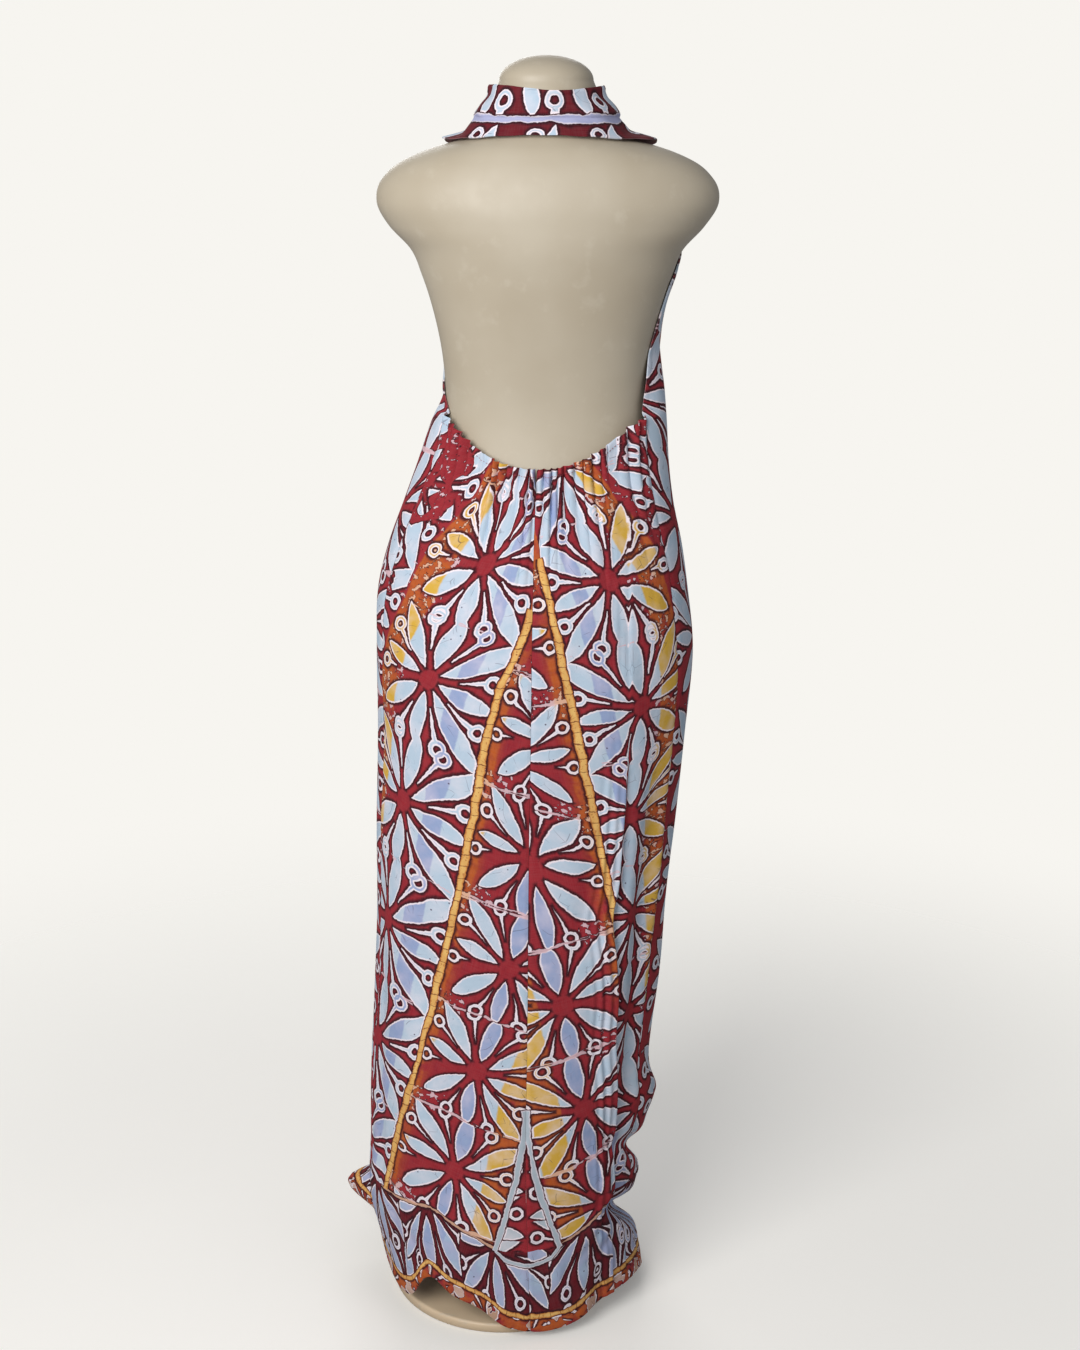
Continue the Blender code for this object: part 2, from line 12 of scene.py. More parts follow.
import bpy
import numpy as np
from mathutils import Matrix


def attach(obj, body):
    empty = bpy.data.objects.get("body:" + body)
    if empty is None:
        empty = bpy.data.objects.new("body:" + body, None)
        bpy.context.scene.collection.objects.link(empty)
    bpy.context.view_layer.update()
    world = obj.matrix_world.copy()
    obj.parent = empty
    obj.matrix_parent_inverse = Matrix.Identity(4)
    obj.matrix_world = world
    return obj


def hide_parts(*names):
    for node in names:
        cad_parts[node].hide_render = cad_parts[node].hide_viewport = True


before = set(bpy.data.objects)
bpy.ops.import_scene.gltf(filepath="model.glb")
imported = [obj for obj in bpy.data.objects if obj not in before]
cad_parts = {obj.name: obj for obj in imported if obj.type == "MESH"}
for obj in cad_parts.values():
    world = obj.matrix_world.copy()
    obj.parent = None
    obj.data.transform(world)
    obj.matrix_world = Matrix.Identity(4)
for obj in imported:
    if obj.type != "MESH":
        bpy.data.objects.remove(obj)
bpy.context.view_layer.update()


# Form, pole and base
BASE_RADIUS = 0.145
BASE_THICKNESS = 0.012
BASE_EDGE = 0.004
BASE_FOOT_EDGE = 0.001
POLE_RADIUS = 0.0125
POLE_X = -0.012
SEAT_GAP = 0.0003
FORM_UNDERSIDE = 0.780
FORM_RIM = 0.012
NECK_TOP = 1.540
BUST_ANGLE = 37.0
BUST_HEIGHT = 1.287
BUST_SPREAD = 19.0
BUST_TALL = 0.040
BUST_RISE = 0.040

# Cloth
WALL = 0.0020
COLLAR_WALL = 0.0026
SEAM_GAP = 0.0003
FORM_CLEARANCE = 0.0027
COLLAR_CLEARANCE = 0.0010
SOFTNESS = 0.004
SECTION_POWER = 2.2
SIDE_SEAM = 70.0
SIDE_SEAM_TOP = 1.148
LOW_BACK = 1.092
GATHERS_A_SIDE = 8
GATHER_DEPTH = 0.0019
GATHER_REACH = 0.076
GATHER_WANDER = 0.035
GATHER_UNEVENNESS = 0.28
FOLD_SWELLS_OVER = 0.45
FOLD_FADES_FROM = 0.75

# Heights of the form's rows, close together where the shoulders turn in to the neck
FORM_TRUNK_ROWS = tuple(np.linspace(FORM_UNDERSIDE + FORM_RIM, 1.298, 12))
FORM_SHOULDER_ROWS = tuple(np.linspace(1.314, 1.400, 8))
FORM_NECK_ROWS = (1.412, 1.422, 1.431, 1.439, 1.446, 1.453, 1.461, 1.471, 1.483, 1.497, 1.511)

# Heights of the front's rows above its side seams: over the shoulders, the bust and the waist
FRONT_SHOULDER_ROWS = (1.456, 1.450, 1.444, 1.437, 1.429, 1.420, 1.410, 1.397)
FRONT_BUST_ROWS = (1.380, 1.360, 1.340, 1.322, 1.304, 1.285, 1.265, 1.245)
FRONT_WAIST_ROWS = (1.225, 1.205, 1.185, 1.170, 1.158)

# The line the body stands on, which leans to the wearer's right from the base up
AXIS_COLUMNS = ("height", "x")
AXIS = (
    (0.0, 0.0), (0.2, -0.006), (0.5, -0.021), (0.86, -0.04), (1.1, -0.052), (1.2, -0.054),
    (1.54, -0.054),
)

# Half sizes of the form from that line
FORM_COLUMNS = ("height", "left", "right", "front", "back")
FORM = (
    (0.78, 0.16, 0.16, 0.098, 0.112), (0.84, 0.17, 0.17, 0.1, 0.12),
    (0.9, 0.172, 0.17, 0.1, 0.123), (0.96, 0.163, 0.16, 0.099, 0.115),
    (1.02, 0.146, 0.144, 0.096, 0.097), (1.08, 0.128, 0.127, 0.091, 0.08),
    (1.15, 0.1165, 0.118, 0.086, 0.073), (1.2, 0.119, 0.119, 0.087, 0.078),
    (1.25, 0.128, 0.128, 0.093, 0.086), (1.3, 0.143, 0.143, 0.1, 0.094),
    (1.33, 0.156, 0.155, 0.1, 0.098), (1.355, 0.18, 0.178, 0.098, 0.099),
    (1.383, 0.194, 0.194, 0.094, 0.098), (1.408, 0.186, 0.187, 0.088, 0.092),
    (1.427, 0.162, 0.164, 0.082, 0.085), (1.442, 0.124, 0.126, 0.076, 0.077),
    (1.449, 0.099, 0.1, 0.072, 0.071), (1.456, 0.079, 0.079, 0.067, 0.065),
    (1.465, 0.0665, 0.0665, 0.064, 0.061), (1.476, 0.0605, 0.0605, 0.061, 0.058),
    (1.49, 0.058, 0.058, 0.06, 0.057), (1.503, 0.0562, 0.0562, 0.059, 0.0555),
    (1.513, 0.0524, 0.0524, 0.055, 0.052), (1.522, 0.0494, 0.0494, 0.0518, 0.049),
    (1.531, 0.039, 0.039, 0.041, 0.0388), (1.537, 0.024, 0.024, 0.0252, 0.024),
)

# Half sizes of the dress from the same line, before its folds
DRESS_COLUMNS = ("height", "left", "right", "front", "back")
DRESS = (
    (0.0, 0.152, 0.179, 0.184, 0.16), (0.07, 0.162, 0.172, 0.178, 0.161),
    (0.13, 0.176, 0.168, 0.172, 0.162), (0.22, 0.179, 0.176, 0.163, 0.159),
    (0.334, 0.1805, 0.1745, 0.156, 0.156), (0.446, 0.179, 0.181, 0.15, 0.153),
    (0.555, 0.181, 0.184, 0.145, 0.151), (0.661, 0.1835, 0.1875, 0.141, 0.149),
    (0.765, 0.184, 0.19, 0.137, 0.147), (0.866, 0.19, 0.19, 0.132, 0.142),
    (0.941, 0.19, 0.177, 0.126, 0.131), (0.989, 0.18, 0.167, 0.121, 0.117),
    (1.038, 0.164, 0.154, 0.117, 0.1), (1.086, 0.148, 0.146, 0.115, 0.083),
    (1.133, 0.1325, 0.1415, 0.115, 0.077), (1.165, 0.119, 0.138, 0.116, 0.077),
    (1.225, 0.126, 0.131, 0.12, 0.082), (1.27, 0.138, 0.137, 0.122, 0.09),
    (1.316, 0.15, 0.155, 0.112, 0.098), (1.35, 0.16, 0.16, 0.09, 0.09),
    (1.4, 0.11, 0.11, 0.07, 0.07), (1.46, 0.05, 0.05, 0.05, 0.05),
)

# Long soft folds of the dress: where each hangs, how wide and how proud (+) or sunk (-) it is
FOLD_COLUMNS = ("top_angle", "foot_angle", "top", "foot", "spread", "rise")
FOLDS = (
    (143.0, 140.0, 1.25, 0.9, 14.0, 0.02), (217.0, 221.0, 1.25, 0.93, 14.0, 0.02),
    (180.0, 178.0, 1.18, 0.15, 9.0, -0.008), (158.0, 156.0, 1.05, 0.08, 8.0, 0.009),
    (133.0, 131.0, 0.96, 0.05, 8.0, -0.009), (112.0, 113.0, 0.9, 0.06, 7.0, 0.007),
    (93.0, 96.0, 0.86, 0.14, 6.0, -0.007), (199.0, 203.0, 1.08, 0.06, 8.0, 0.01),
    (224.0, 227.0, 0.98, 0.1, 8.0, -0.01), (247.0, 246.0, 0.93, 0.08, 7.0, 0.008),
    (266.0, 268.0, 0.88, 0.3, 6.0, -0.006), (299.0, 297.0, 0.86, 0.18, 6.0, -0.009),
    (312.0, 309.0, 0.82, 0.24, 7.0, 0.004), (40.0, 37.0, 0.52, 0.1, 9.0, 0.004),
    (20.0, 24.0, 0.4, 0.12, 7.0, -0.004),
)

# Breaks across the cloth, where its length piles up beside the base, and the flares of the hem
BREAK_COLUMNS = ("angle", "height", "spread", "tall", "rise", "climb")
BREAKS = (
    (264.0, 0.266, 30.0, 0.026, 0.013, 0.0012), (264.0, 0.19, 33.0, 0.016, -0.027, 0.0014),
    (264.0, 0.146, 30.0, 0.017, -0.001, 0.0014), (264.0, 0.096, 34.0, 0.019, -0.04, 0.0014),
    (281.0, 0.018, 15.0, 0.021, 0.011, 0.0), (308.0, 0.04, 7.0, 0.05, -0.01, 0.0),
    (104.0, 0.087, 12.0, 0.025, 0.061, 0.0), (52.0, 0.165, 20.0, 0.03, 0.003, 0.0006),
    (204.0, 0.1, 22.0, 0.05, 0.008, 0.0), (160.0, 0.12, 18.0, 0.026, -0.006, -0.0004),
)

# The hem's height round the dress
HEM_COLUMNS = ("angle", "height")
HEM = (
    (-16.0, 0.012), (-7.0, 0.02), (4.0, 0.045), (17.0, 0.058), (30.0, 0.072), (38.0, 0.04),
    (47.0, 0.031), (58.0, 0.038), (72.0, 0.06), (90.0, 0.076), (104.0, 0.084), (122.0, 0.068),
    (146.0, 0.03), (180.0, 0.01), (220.0, 0.012), (262.0, 0.018), (285.0, 0.035), (311.0, 0.026),
    (323.0, 0.016), (344.0, 0.012), (353.0, 0.02), (364.0, 0.045),
)

# Height of the low back's edge, on either side of the centre back
LOW_BACK_COLUMNS = ("angle", "height")
LOW_BACK_EDGE = (
    (0.0, LOW_BACK), (14.0, 1.0935), (30.0, 1.101), (44.0, 1.114), (54.0, 1.128), (62.0, 1.141),
    (SIDE_SEAM, SIDE_SEAM_TOP),
)

# The centre back seam, which hangs plumb while the body's line leans
CENTRE_SEAM_COLUMNS = ("height", "angle")
CENTRE_SEAM = (
    (0.0, -18.5), (0.11, -16.0), (0.235, -13.8), (0.413, -11.5), (0.643, -8.0), (0.94, -3.4),
    (LOW_BACK, 0.0), (SIDE_SEAM_TOP, 0.0),
)

# Free edges of the halter front, from the side seams up over the shoulders
ARMHOLE_COLUMNS = ("height", "left", "right")
ARMHOLE = (
    (1.148, 70.0, 70.0), (1.165, 80.0, 71.5), (1.185, 92.0, 74.5), (1.225, 98.0, 80.0),
    (1.265, 98.0, 84.0), (1.3, 100.0, 87.0), (1.32, 107.0, 95.0), (1.34, 118.0, 112.0),
    (1.36, 123.0, 121.0), (1.385, 124.0, 123.0), (1.41, 121.0, 121.0), (1.432, 118.0, 118.0),
    (1.447, 112.0, 112.0), (1.456, 104.0, 104.0),
)
HALTER_TOP = FRONT_SHOULDER_ROWS[0]
HALTER_DIP = 0.033
HALTER_DIP_START = 1.300

# Rows of the folded collar, from its top edge over the crease to its lower edge
COLLAR_ROW_COLUMNS = ("back_height", "side_height", "front_height", "back", "side", "front")
COLLAR = (
    (1.506, 1.508, 1.493, 0.053, 0.0535, 0.058), (1.498, 1.499, 1.48, 0.057, 0.061, 0.064),
    (1.487, 1.488, 1.466, 0.0625, 0.0735, 0.072), (1.477, 1.478, 1.455, 0.0665, 0.081, 0.078),
    (1.4725, 1.4725, 1.45, 0.065, 0.0815, 0.078), (1.465, 1.463, 1.437, 0.07, 0.089, 0.084),
    (1.456, 1.452, 1.412, 0.072, 0.098, 0.088),
)


def smooth_column(table, columns, name, at):
    """A cubic through one named column of a table, over the table's first column.

    The slope at each row is the mean of the slopes on its two sides, weighted by the spacing.
    """
    knots = np.array([row[0] for row in table], dtype=float)
    values = np.array([row[columns.index(name)] for row in table], dtype=float)
    at = np.clip(np.asarray(at, dtype=float), knots[0], knots[-1])
    spans = np.diff(knots)
    steps = np.diff(values) / spans
    slopes = np.empty_like(values)
    slopes[0] = steps[0]
    slopes[-1] = steps[-1]
    slopes[1:-1] = (steps[:-1] * spans[1:] + steps[1:] * spans[:-1]) / (spans[1:] + spans[:-1])
    row = np.clip(np.searchsorted(knots, at, side="right") - 1, 0, len(spans) - 1)
    part = (at - knots[row]) / spans[row]
    return (
        values[row] * (2 * part**3 - 3 * part**2 + 1)
        + spans[row] * slopes[row] * (part**3 - 2 * part**2 + part)
        + values[row + 1] * (3 * part**2 - 2 * part**3)
        + spans[row] * slopes[row + 1] * (part**3 - part**2)
    )


def ease(low, high, at):
    """0 at low, 1 at high, and a soft step between them."""
    part = np.clip((at - low) / (high - low), 0.0, 1.0)
    return part * part * (3.0 - 2.0 * part)


def bell(distance, width):
    """1 at no distance, and falling away on both sides over about the width."""
    return np.exp(-((distance / width) ** 2))


def larger(first, second):
    """The larger of two radii, with the meeting of the two rounded off."""
    return 0.5 * (first + second + np.sqrt((first - second) ** 2 + SOFTNESS**2))


def turn_between(angle, centre):
    """Angle from a centre, in degrees, the short way round."""
    return (angle - centre + 180.0) % 360.0 - 180.0


def section_radius(angle, left, right, front, back):
    """Radius of a rounded section, a superellipse with its own half size on each of four sides."""
    sine = np.sin(np.radians(angle))
    cosine = np.cos(np.radians(angle))
    across = np.where(sine >= 0.0, left, right)
    along = np.where(cosine >= 0.0, back, front)
    total = np.abs(sine / across) ** SECTION_POWER + np.abs(cosine / along) ** SECTION_POWER
    return total ** (-1.0 / SECTION_POWER)


def form_radius(angle, height):
    """Radius of the form: its section, and two soft rises for the bust."""
    sizes = [smooth_column(FORM, FORM_COLUMNS, side, height) for side in FORM_COLUMNS[1:]]
    radius = section_radius(angle, *sizes)
    for side in (-1.0, 1.0):
        away = turn_between(angle, 180.0 + side * BUST_ANGLE) / BUST_SPREAD
        level = (height - BUST_HEIGHT) / BUST_TALL
        radius = radius + BUST_RISE * np.exp(-(away**2) - level**2)
    return radius


def clear_radius(surface, angle, height, distance):
    """Radius of a face that lies a given distance off another surface, measured square to it."""
    rise = 0.002
    turn = 1.0
    radius = surface(angle, height)
    slope = (surface(angle, height + rise) - surface(angle, height - rise)) / (2 * rise)
    across = radius * np.radians(2 * turn)
    lean = (surface(angle + turn, height) - surface(angle - turn, height)) / across
    return radius + distance * np.sqrt(1.0 + slope**2 + lean**2)


def low_back_height(angle):
    """Height of the low back's edge."""
    away = np.abs(turn_between(angle, 0.0))
    return smooth_column(LOW_BACK_EDGE, LOW_BACK_COLUMNS, "height", away)


def near_low_back(angle, height):
    """1 at the low back's gathered edge, fading below it and towards the side seams."""
    below = np.maximum(low_back_height(angle) - height, 0.0)
    behind = 1.0 - ease(SIDE_SEAM - 5.0, SIDE_SEAM, np.abs(turn_between(angle, 0.0)))
    return np.exp(-((below / GATHER_REACH) ** 1.3)) * behind


def gather_relief(angle, height):
    """Uneven gathers under the low back's edge, all of them outside the smooth panel.

    A cosine over each panel's width, whose crests are moved and lowered by slower sines.
    """
    turn = turn_between(angle, 0.0)
    panel = np.sign(turn)
    share = np.abs(turn) / SIDE_SEAM
    wander = GATHER_WANDER * np.sin(7.3 * share + panel)
    strength = 1.0 - GATHER_UNEVENNESS * (1.0 - np.sin(11.0 * share + 2.1 * panel))
    wave = 1.0 + strength * np.cos(2.0 * np.pi * GATHERS_A_SIDE * (share + wander))
    return GATHER_DEPTH * wave * near_low_back(angle, height)


def fold_relief(angle, height):
    """Sum of the long folds and of the breaks across them."""
    relief = np.zeros_like(angle, dtype=float)
    for row in FOLDS:
        fold = dict(zip(FOLD_COLUMNS, row))
        part = np.clip((fold["top"] - height) / (fold["top"] - fold["foot"]), 0.0, 1.0)
        centre = fold["top_angle"] + (fold["foot_angle"] - fold["top_angle"]) * part
        swell = ease(0.0, FOLD_SWELLS_OVER, part) * (1.0 - 0.75 * ease(FOLD_FADES_FROM, 1.0, part))
        away = turn_between(angle, centre) / fold["spread"]
        relief = relief + fold["rise"] * swell * np.exp(-(away**2))
    for row in BREAKS:
        fold = dict(zip(BREAK_COLUMNS, row))
        turn = turn_between(angle, fold["angle"])
        above = (height - fold["height"] - fold["climb"] * turn) / fold["tall"]
        relief = relief + fold["rise"] * np.exp(-((turn / fold["spread"]) ** 2) - above**2)
    return relief


def dress_radius(angle, height):
    """Radius of the dress's outer face: section, folds and gathers, kept clear of the form."""
    sizes = [smooth_column(DRESS, DRESS_COLUMNS, side, height) for side in DRESS_COLUMNS[1:]]
    hanging = section_radius(angle, *sizes) + fold_relief(angle, height)
    level = np.maximum(height, FORM_UNDERSIDE)
    worn = larger(hanging, clear_radius(form_radius, angle, level, WALL + FORM_CLEARANCE))
    beside_form = ease(FORM_UNDERSIDE - 0.10, FORM_UNDERSIDE - 0.02, height)
    return hanging + (worn - hanging) * beside_form + gather_relief(angle, height)


def to_points(angle, height, radius):
    """Points at a radius and an angle round the body's line."""
    x = smooth_column(AXIS, AXIS_COLUMNS, "x", height) + radius * np.sin(np.radians(angle))
    y = radius * np.cos(np.radians(angle))
    return np.stack([x, y, np.broadcast_to(height, x.shape)], axis=-1)


def dress_points(angle, height):
    """Points of the dress's outer face."""
    return to_points(angle, height, dress_radius(angle, height))


def seat_angle(angle_of_edge, height, toward):
    """A seam's angle, drawn back by half the seam's gap."""
    edge = np.broadcast_to(angle_of_edge, np.shape(height))
    half_gap = np.degrees(0.5 * SEAM_GAP / dress_radius(edge, height))
    return angle_of_edge + toward * half_gap


def hem_height(angle):
    """The hem's height at an angle."""
    around = (np.asarray(angle, dtype=float) + 16.0) % 360.0 - 16.0
    return smooth_column(HEM, HEM_COLUMNS, "height", around)


def front_angles(height, spread):
    """Angles of a row of the front between the two side seams."""
    left = seat_angle(SIDE_SEAM, height, 1.0)
    right = seat_angle(360.0 - SIDE_SEAM, height, -1.0)
    return left + (right - left) * spread


def collar_radius(angle, height, radius):
    """A collar row's radius, kept off the form and, in front, off the halter front too."""
    in_front = ease(0.30, 0.02, np.cos(np.radians(angle)))
    off_form = clear_radius(form_radius, angle, height, FORM_CLEARANCE + COLLAR_WALL)
    off_front = clear_radius(dress_radius, angle, height, COLLAR_CLEARANCE + COLLAR_WALL)
    return larger(radius, off_form + (off_front - off_form) * in_front)


# Cloth as it is seen: a thin shell on the form that the solids give

SHELL = 0.0010
TURNED_SHELL = 0.0007
HEM_FOLD = 0.013
ROLLED_EDGE = 0.006
ELASTIC_EDGE = 0.011
PUCKER_DEPTH = 0.0047
PUCKER_LIFT = 0.0028
PUCKER_SHARPNESS = 0.60
PUCKERS_A_SIDE = 13
PUCKER_REACH = 0.094
DEEPEST_ON_FORM = -0.0022
CREASED_RADIUS = 0.165
EDGE_RISE = 0.00045
EDGE_DROP = 0.0006
EDGE_ROUNDING = 0.0011
SEAM_DEPTH = 0.0011
SEAM_WIDTH = 0.0024
SEAM_PUCKER = 0.00032
SEAM_PUCKER_PITCH = 0.017
SEAM_PUCKER_REACH = 0.010

# Soft creases laid over the folds: place, half length along, half width across, rise and lean
CREASE_COLUMNS = ("angle", "height", "along", "across", "rise", "lean")
CREASES = (
    (-60.0, 1.06, 0.055, 0.007, -0.0016, 24.0), (-56.0, 1.018, 0.048, 0.006, -0.0013, 35.0),
    (-66.0, 0.985, 0.06, 0.008, 0.0016, 30.0), (58.0, 1.064, 0.05, 0.007, -0.0015, -24.0),
    (62.0, 1.01, 0.06, 0.007, -0.0013, -34.0), (50.0, 0.975, 0.05, 0.008, 0.0015, -38.0),
    (-68.0, 0.56, 0.18, 0.009, 0.004, -2.0), (-66.0, 0.3, 0.08, 0.008, 0.0036, -6.0),
    (-53.0, 0.24, 0.075, 0.01, -0.004, 10.0), (-48.0, 0.15, 0.06, 0.01, 0.0036, -28.0),
    (-60.0, 0.118, 0.045, 0.008, -0.0042, -62.0), (-40.0, 0.105, 0.05, 0.009, -0.0028, -40.0),
    (-30.0, 0.08, 0.045, 0.01, 0.003, 14.0), (-16.0, 0.13, 0.08, 0.008, 0.0018, 0.0),
    (4.0, 0.09, 0.05, 0.011, -0.003, 16.0), (20.0, 0.12, 0.06, 0.01, 0.0024, 20.0),
    (34.0, 0.105, 0.045, 0.008, -0.0026, 34.0), (47.0, 0.13, 0.06, 0.009, -0.003, 10.0),
    (58.0, 0.23, 0.09, 0.009, -0.0026, 4.0), (66.0, 0.17, 0.055, 0.008, 0.0026, -12.0),
    (63.0, 0.43, 0.15, 0.01, -0.0022, 3.0), (38.0, 0.52, 0.15, 0.013, -0.0014, 6.0),
    (-32.0, 0.56, 0.14, 0.012, -0.0014, -6.0), (14.0, 0.76, 0.11, 0.012, -0.0012, 3.0),
    (-24.0, 0.83, 0.11, 0.011, -0.0012, -4.0), (46.0, 0.83, 0.085, 0.011, -0.0016, -20.0),
    (-50.0, 0.88, 0.085, 0.011, -0.0016, 18.0), (84.0, 0.3, 0.12, 0.009, -0.0035, 4.0),
    (96.0, 0.52, 0.15, 0.01, 0.0032, 2.0), (106.0, 0.23, 0.075, 0.009, -0.0034, -10.0),
    (118.0, 0.64, 0.14, 0.011, -0.0028, 3.0), (128.0, 0.17, 0.065, 0.01, 0.0032, 18.0),
    (147.0, 0.33, 0.12, 0.012, -0.0035, 2.0), (146.0, 1.13, 0.06, 0.008, -0.0018, 24.0),
    (160.0, 1.06, 0.075, 0.009, 0.002, 10.0), (169.0, 0.76, 0.14, 0.011, -0.0026, 2.0),
    (183.0, 0.3, 0.11, 0.012, 0.003, -3.0), (197.0, 0.54, 0.14, 0.011, -0.003, -2.0),
    (200.0, 1.07, 0.07, 0.009, 0.002, -12.0), (214.0, 1.13, 0.06, 0.008, -0.0018, -24.0),
    (216.0, 0.2, 0.075, 0.01, -0.0036, -14.0), (232.0, 0.42, 0.13, 0.011, 0.0032, -3.0),
    (243.0, 0.7, 0.14, 0.011, -0.003, -2.0), (254.0, 0.24, 0.05, 0.009, -0.0042, 60.0),
    (262.0, 0.15, 0.05, 0.008, 0.004, 66.0), (270.0, 0.33, 0.075, 0.009, -0.004, -12.0),
    (278.0, 0.11, 0.045, 0.008, -0.004, 54.0), (98.0, 1.215, 0.035, 0.006, -0.0012, -40.0),
    (112.0, 1.33, 0.05, 0.007, -0.0012, 28.0), (262.0, 1.215, 0.035, 0.006, -0.0012, 40.0),
    (248.0, 1.33, 0.05, 0.007, -0.0012, -28.0),
)


def crease_relief(angle, height):
    """Sum of the creases, each a bell across its own line and a wider bell along it."""
    relief = np.zeros(np.shape(angle))
    for row in CREASES:
        crease = dict(zip(CREASE_COLUMNS, row))
        sideways = CREASED_RADIUS * np.radians(turn_between(angle, crease["angle"]))
        upward = height - crease["height"]
        lean = math.radians(crease["lean"])
        along = (upward * math.cos(lean) + sideways * math.sin(lean)) / crease["along"]
        across = (sideways * math.cos(lean) - upward * math.sin(lean)) / crease["across"]
        relief = relief + crease["rise"] * np.exp(-(along**2) - across**2)
    return relief


def pucker_number(angle):
    """How many puckers lie between the centre back and an angle; whole numbers are valleys."""
    turn = turn_between(angle, 0.0)
    share = np.abs(turn) / SIDE_SEAM
    wander = 0.5 * np.sin(13.0 * share + 2.0 * np.sign(turn)) + 0.3 * np.sin(29.0 * share)
    return PUCKERS_A_SIDE * share + 0.35 * wander * ease(0.0, 0.1, share)


def pucker_relief(angle, height):
    """Puckers under the low back's elastic edge: round ridges between narrow valleys."""
    turn = turn_between(angle, 0.0)
    share = np.abs(turn) / SIDE_SEAM
    wave = 2.0 * np.abs(np.sin(np.pi * pucker_number(angle))) ** PUCKER_SHARPNESS - 1.0
    below = np.maximum(low_back_height(angle) - height, 0.0)
    uneven = 0.65 + 0.35 * np.sin(17.0 * share + np.sign(turn))
    near = np.exp(-((below / (PUCKER_REACH * uneven)) ** 1.4))
    behind = 1.0 - ease(SIDE_SEAM - 3.0, SIDE_SEAM, np.abs(turn))
    middle = 0.75 + 0.45 * bell(turn, 24.0)
    return (PUCKER_DEPTH * uneven * wave + PUCKER_LIFT) * near * behind * middle


def sway_relief(angle, height):
    """The cloth's faint unevenness: three slow waves that cross each other."""
    first = np.sin(np.radians(5.0 * angle) + 9.0 * height)
    second = np.sin(np.radians(11.0 * angle) - 21.0 * height + 1.3)
    third = np.sin(np.radians(7.0 * angle) + 37.0 * height + 0.6)
    hanging = 1.0 - 0.7 * ease(FORM_UNDERSIDE, 1.0, height)
    return (0.0007 * first + 0.0005 * second + 0.0003 * third) * hanging


def grid_normals(points):
    """Directions square to a grid of points, from its neighbours along and across."""
    across = np.gradient(points, axis=1)
    down = np.gradient(points, axis=0)
    normal = np.cross(across, down)
    return normal / np.maximum(np.linalg.norm(normal, axis=-1, keepdims=True), 1e-12)


def path_along(points, axis):
    """Distance along the rows or the columns of a grid, from its first line."""
    steps = np.linalg.norm(np.diff(points, axis=axis), axis=-1)
    total = np.cumsum(steps, axis=axis)
    return np.concatenate([np.zeros_like(np.take(total, [0], axis=axis)), total], axis=axis)


def smooth_across(values, reach):
    """A grid of values, each the mean of its neighbours within a reach along its row."""
    padded = np.pad(values, ((0, 0), (reach, reach)), mode="edge")
    total = np.cumsum(np.pad(padded, ((0, 0), (1, 0))), axis=1)
    width = 2 * reach + 1
    return (total[:, width:] - total[:, :-width]) / width


def in_scene(name, data):
    """A new object with its data, put in the scene."""
    made = bpy.data.objects.new(name, data)
    bpy.context.scene.collection.objects.link(made)
    return made


def wall_mesh(name, outer, thickness, maps, above_hem):
    """A closed wall of cloth: an outer grid, an inner grid a thickness inside it, and the edges.

    maps holds a pair of grids for each UV map. The material also reads the distance above the
    hem, and a number that is 1 on the inner grid.
    """
    rows, columns = outer.shape[:2]
    inner = outer - np.broadcast_to(thickness, outer.shape[:2])[..., None] * grid_normals(outer)
    points = np.concatenate([outer.reshape(-1, 3), inner.reshape(-1, 3)])
    total = rows * columns
    number = np.arange(total).reshape(rows, columns)
    corners = [number[:-1, :-1], number[1:, :-1], number[1:, 1:], number[:-1, 1:]]
    face = np.stack(corners, axis=-1).reshape(-1, 4)
    faces = [face[:, ::-1], face + total]
    for edge, turned in (
        (number[0], True), (number[-1], False), (number[:, 0], False), (number[:, -1], True),
    ):
        rim = np.stack([edge[:-1], edge[1:], edge[1:] + total, edge[:-1] + total], axis=-1)
        faces.append(rim[:, ::-1] if turned else rim)
    faces = np.concatenate(faces)
    mesh = bpy.data.meshes.new(name)
    mesh.vertices.add(len(points))
    mesh.vertices.foreach_set("co", points.astype(np.float32).ravel())
    mesh.loops.add(faces.size)
    mesh.loops.foreach_set("vertex_index", faces.astype(np.int32).ravel())
    mesh.polygons.add(len(faces))
    mesh.polygons.foreach_set("loop_start", np.arange(0, faces.size, 4, dtype=np.int32))
    mesh.update(calc_edges=True)
    corners = faces.ravel() % total
    for map_name, (first, second) in maps.items():
        layer = mesh.uv_layers.new(name=map_name)
        pairs = np.stack([first.ravel()[corners], second.ravel()[corners]], axis=-1)
        layer.data.foreach_set("uv", pairs.astype(np.float32).ravel())
    read = {"above_hem": np.tile(above_hem.ravel(), 2), "inside": np.repeat([0.0, 1.0], total)}
    for value_name, values in read.items():
        attribute = mesh.attributes.new(value_name, "FLOAT", "POINT")
        attribute.data.foreach_set("value", values.astype(np.float32))
    mesh.shade_smooth()
    mesh.set_sharp_from_angle(angle=math.radians(58.0))
    return in_scene(name, mesh)


def uneven_steps(weights):
    """Shares from 0 to 1 whose steps are the given weights."""
    total = np.cumsum(np.concatenate([[0.0], weights]))
    return total / total[-1]


def skirt_steps(count):
    """Shares down the skirt, closest at the gathers and, less so, at the breaks by the hem."""
    at = np.linspace(0.0, 1.0, count)
    return uneven_steps(1.0 - 0.62 * bell(at, 0.14) - 0.30 * ease(0.66, 0.86, at))


def edge_relief(distance, width):
    """A turned edge, proud of the cloth by half a thickness, with its fold rounded off."""
    turned = 1.0 - ease(0.72 * width, width, distance)
    return EDGE_RISE * turned - EDGE_DROP * bell(distance, EDGE_ROUNDING)


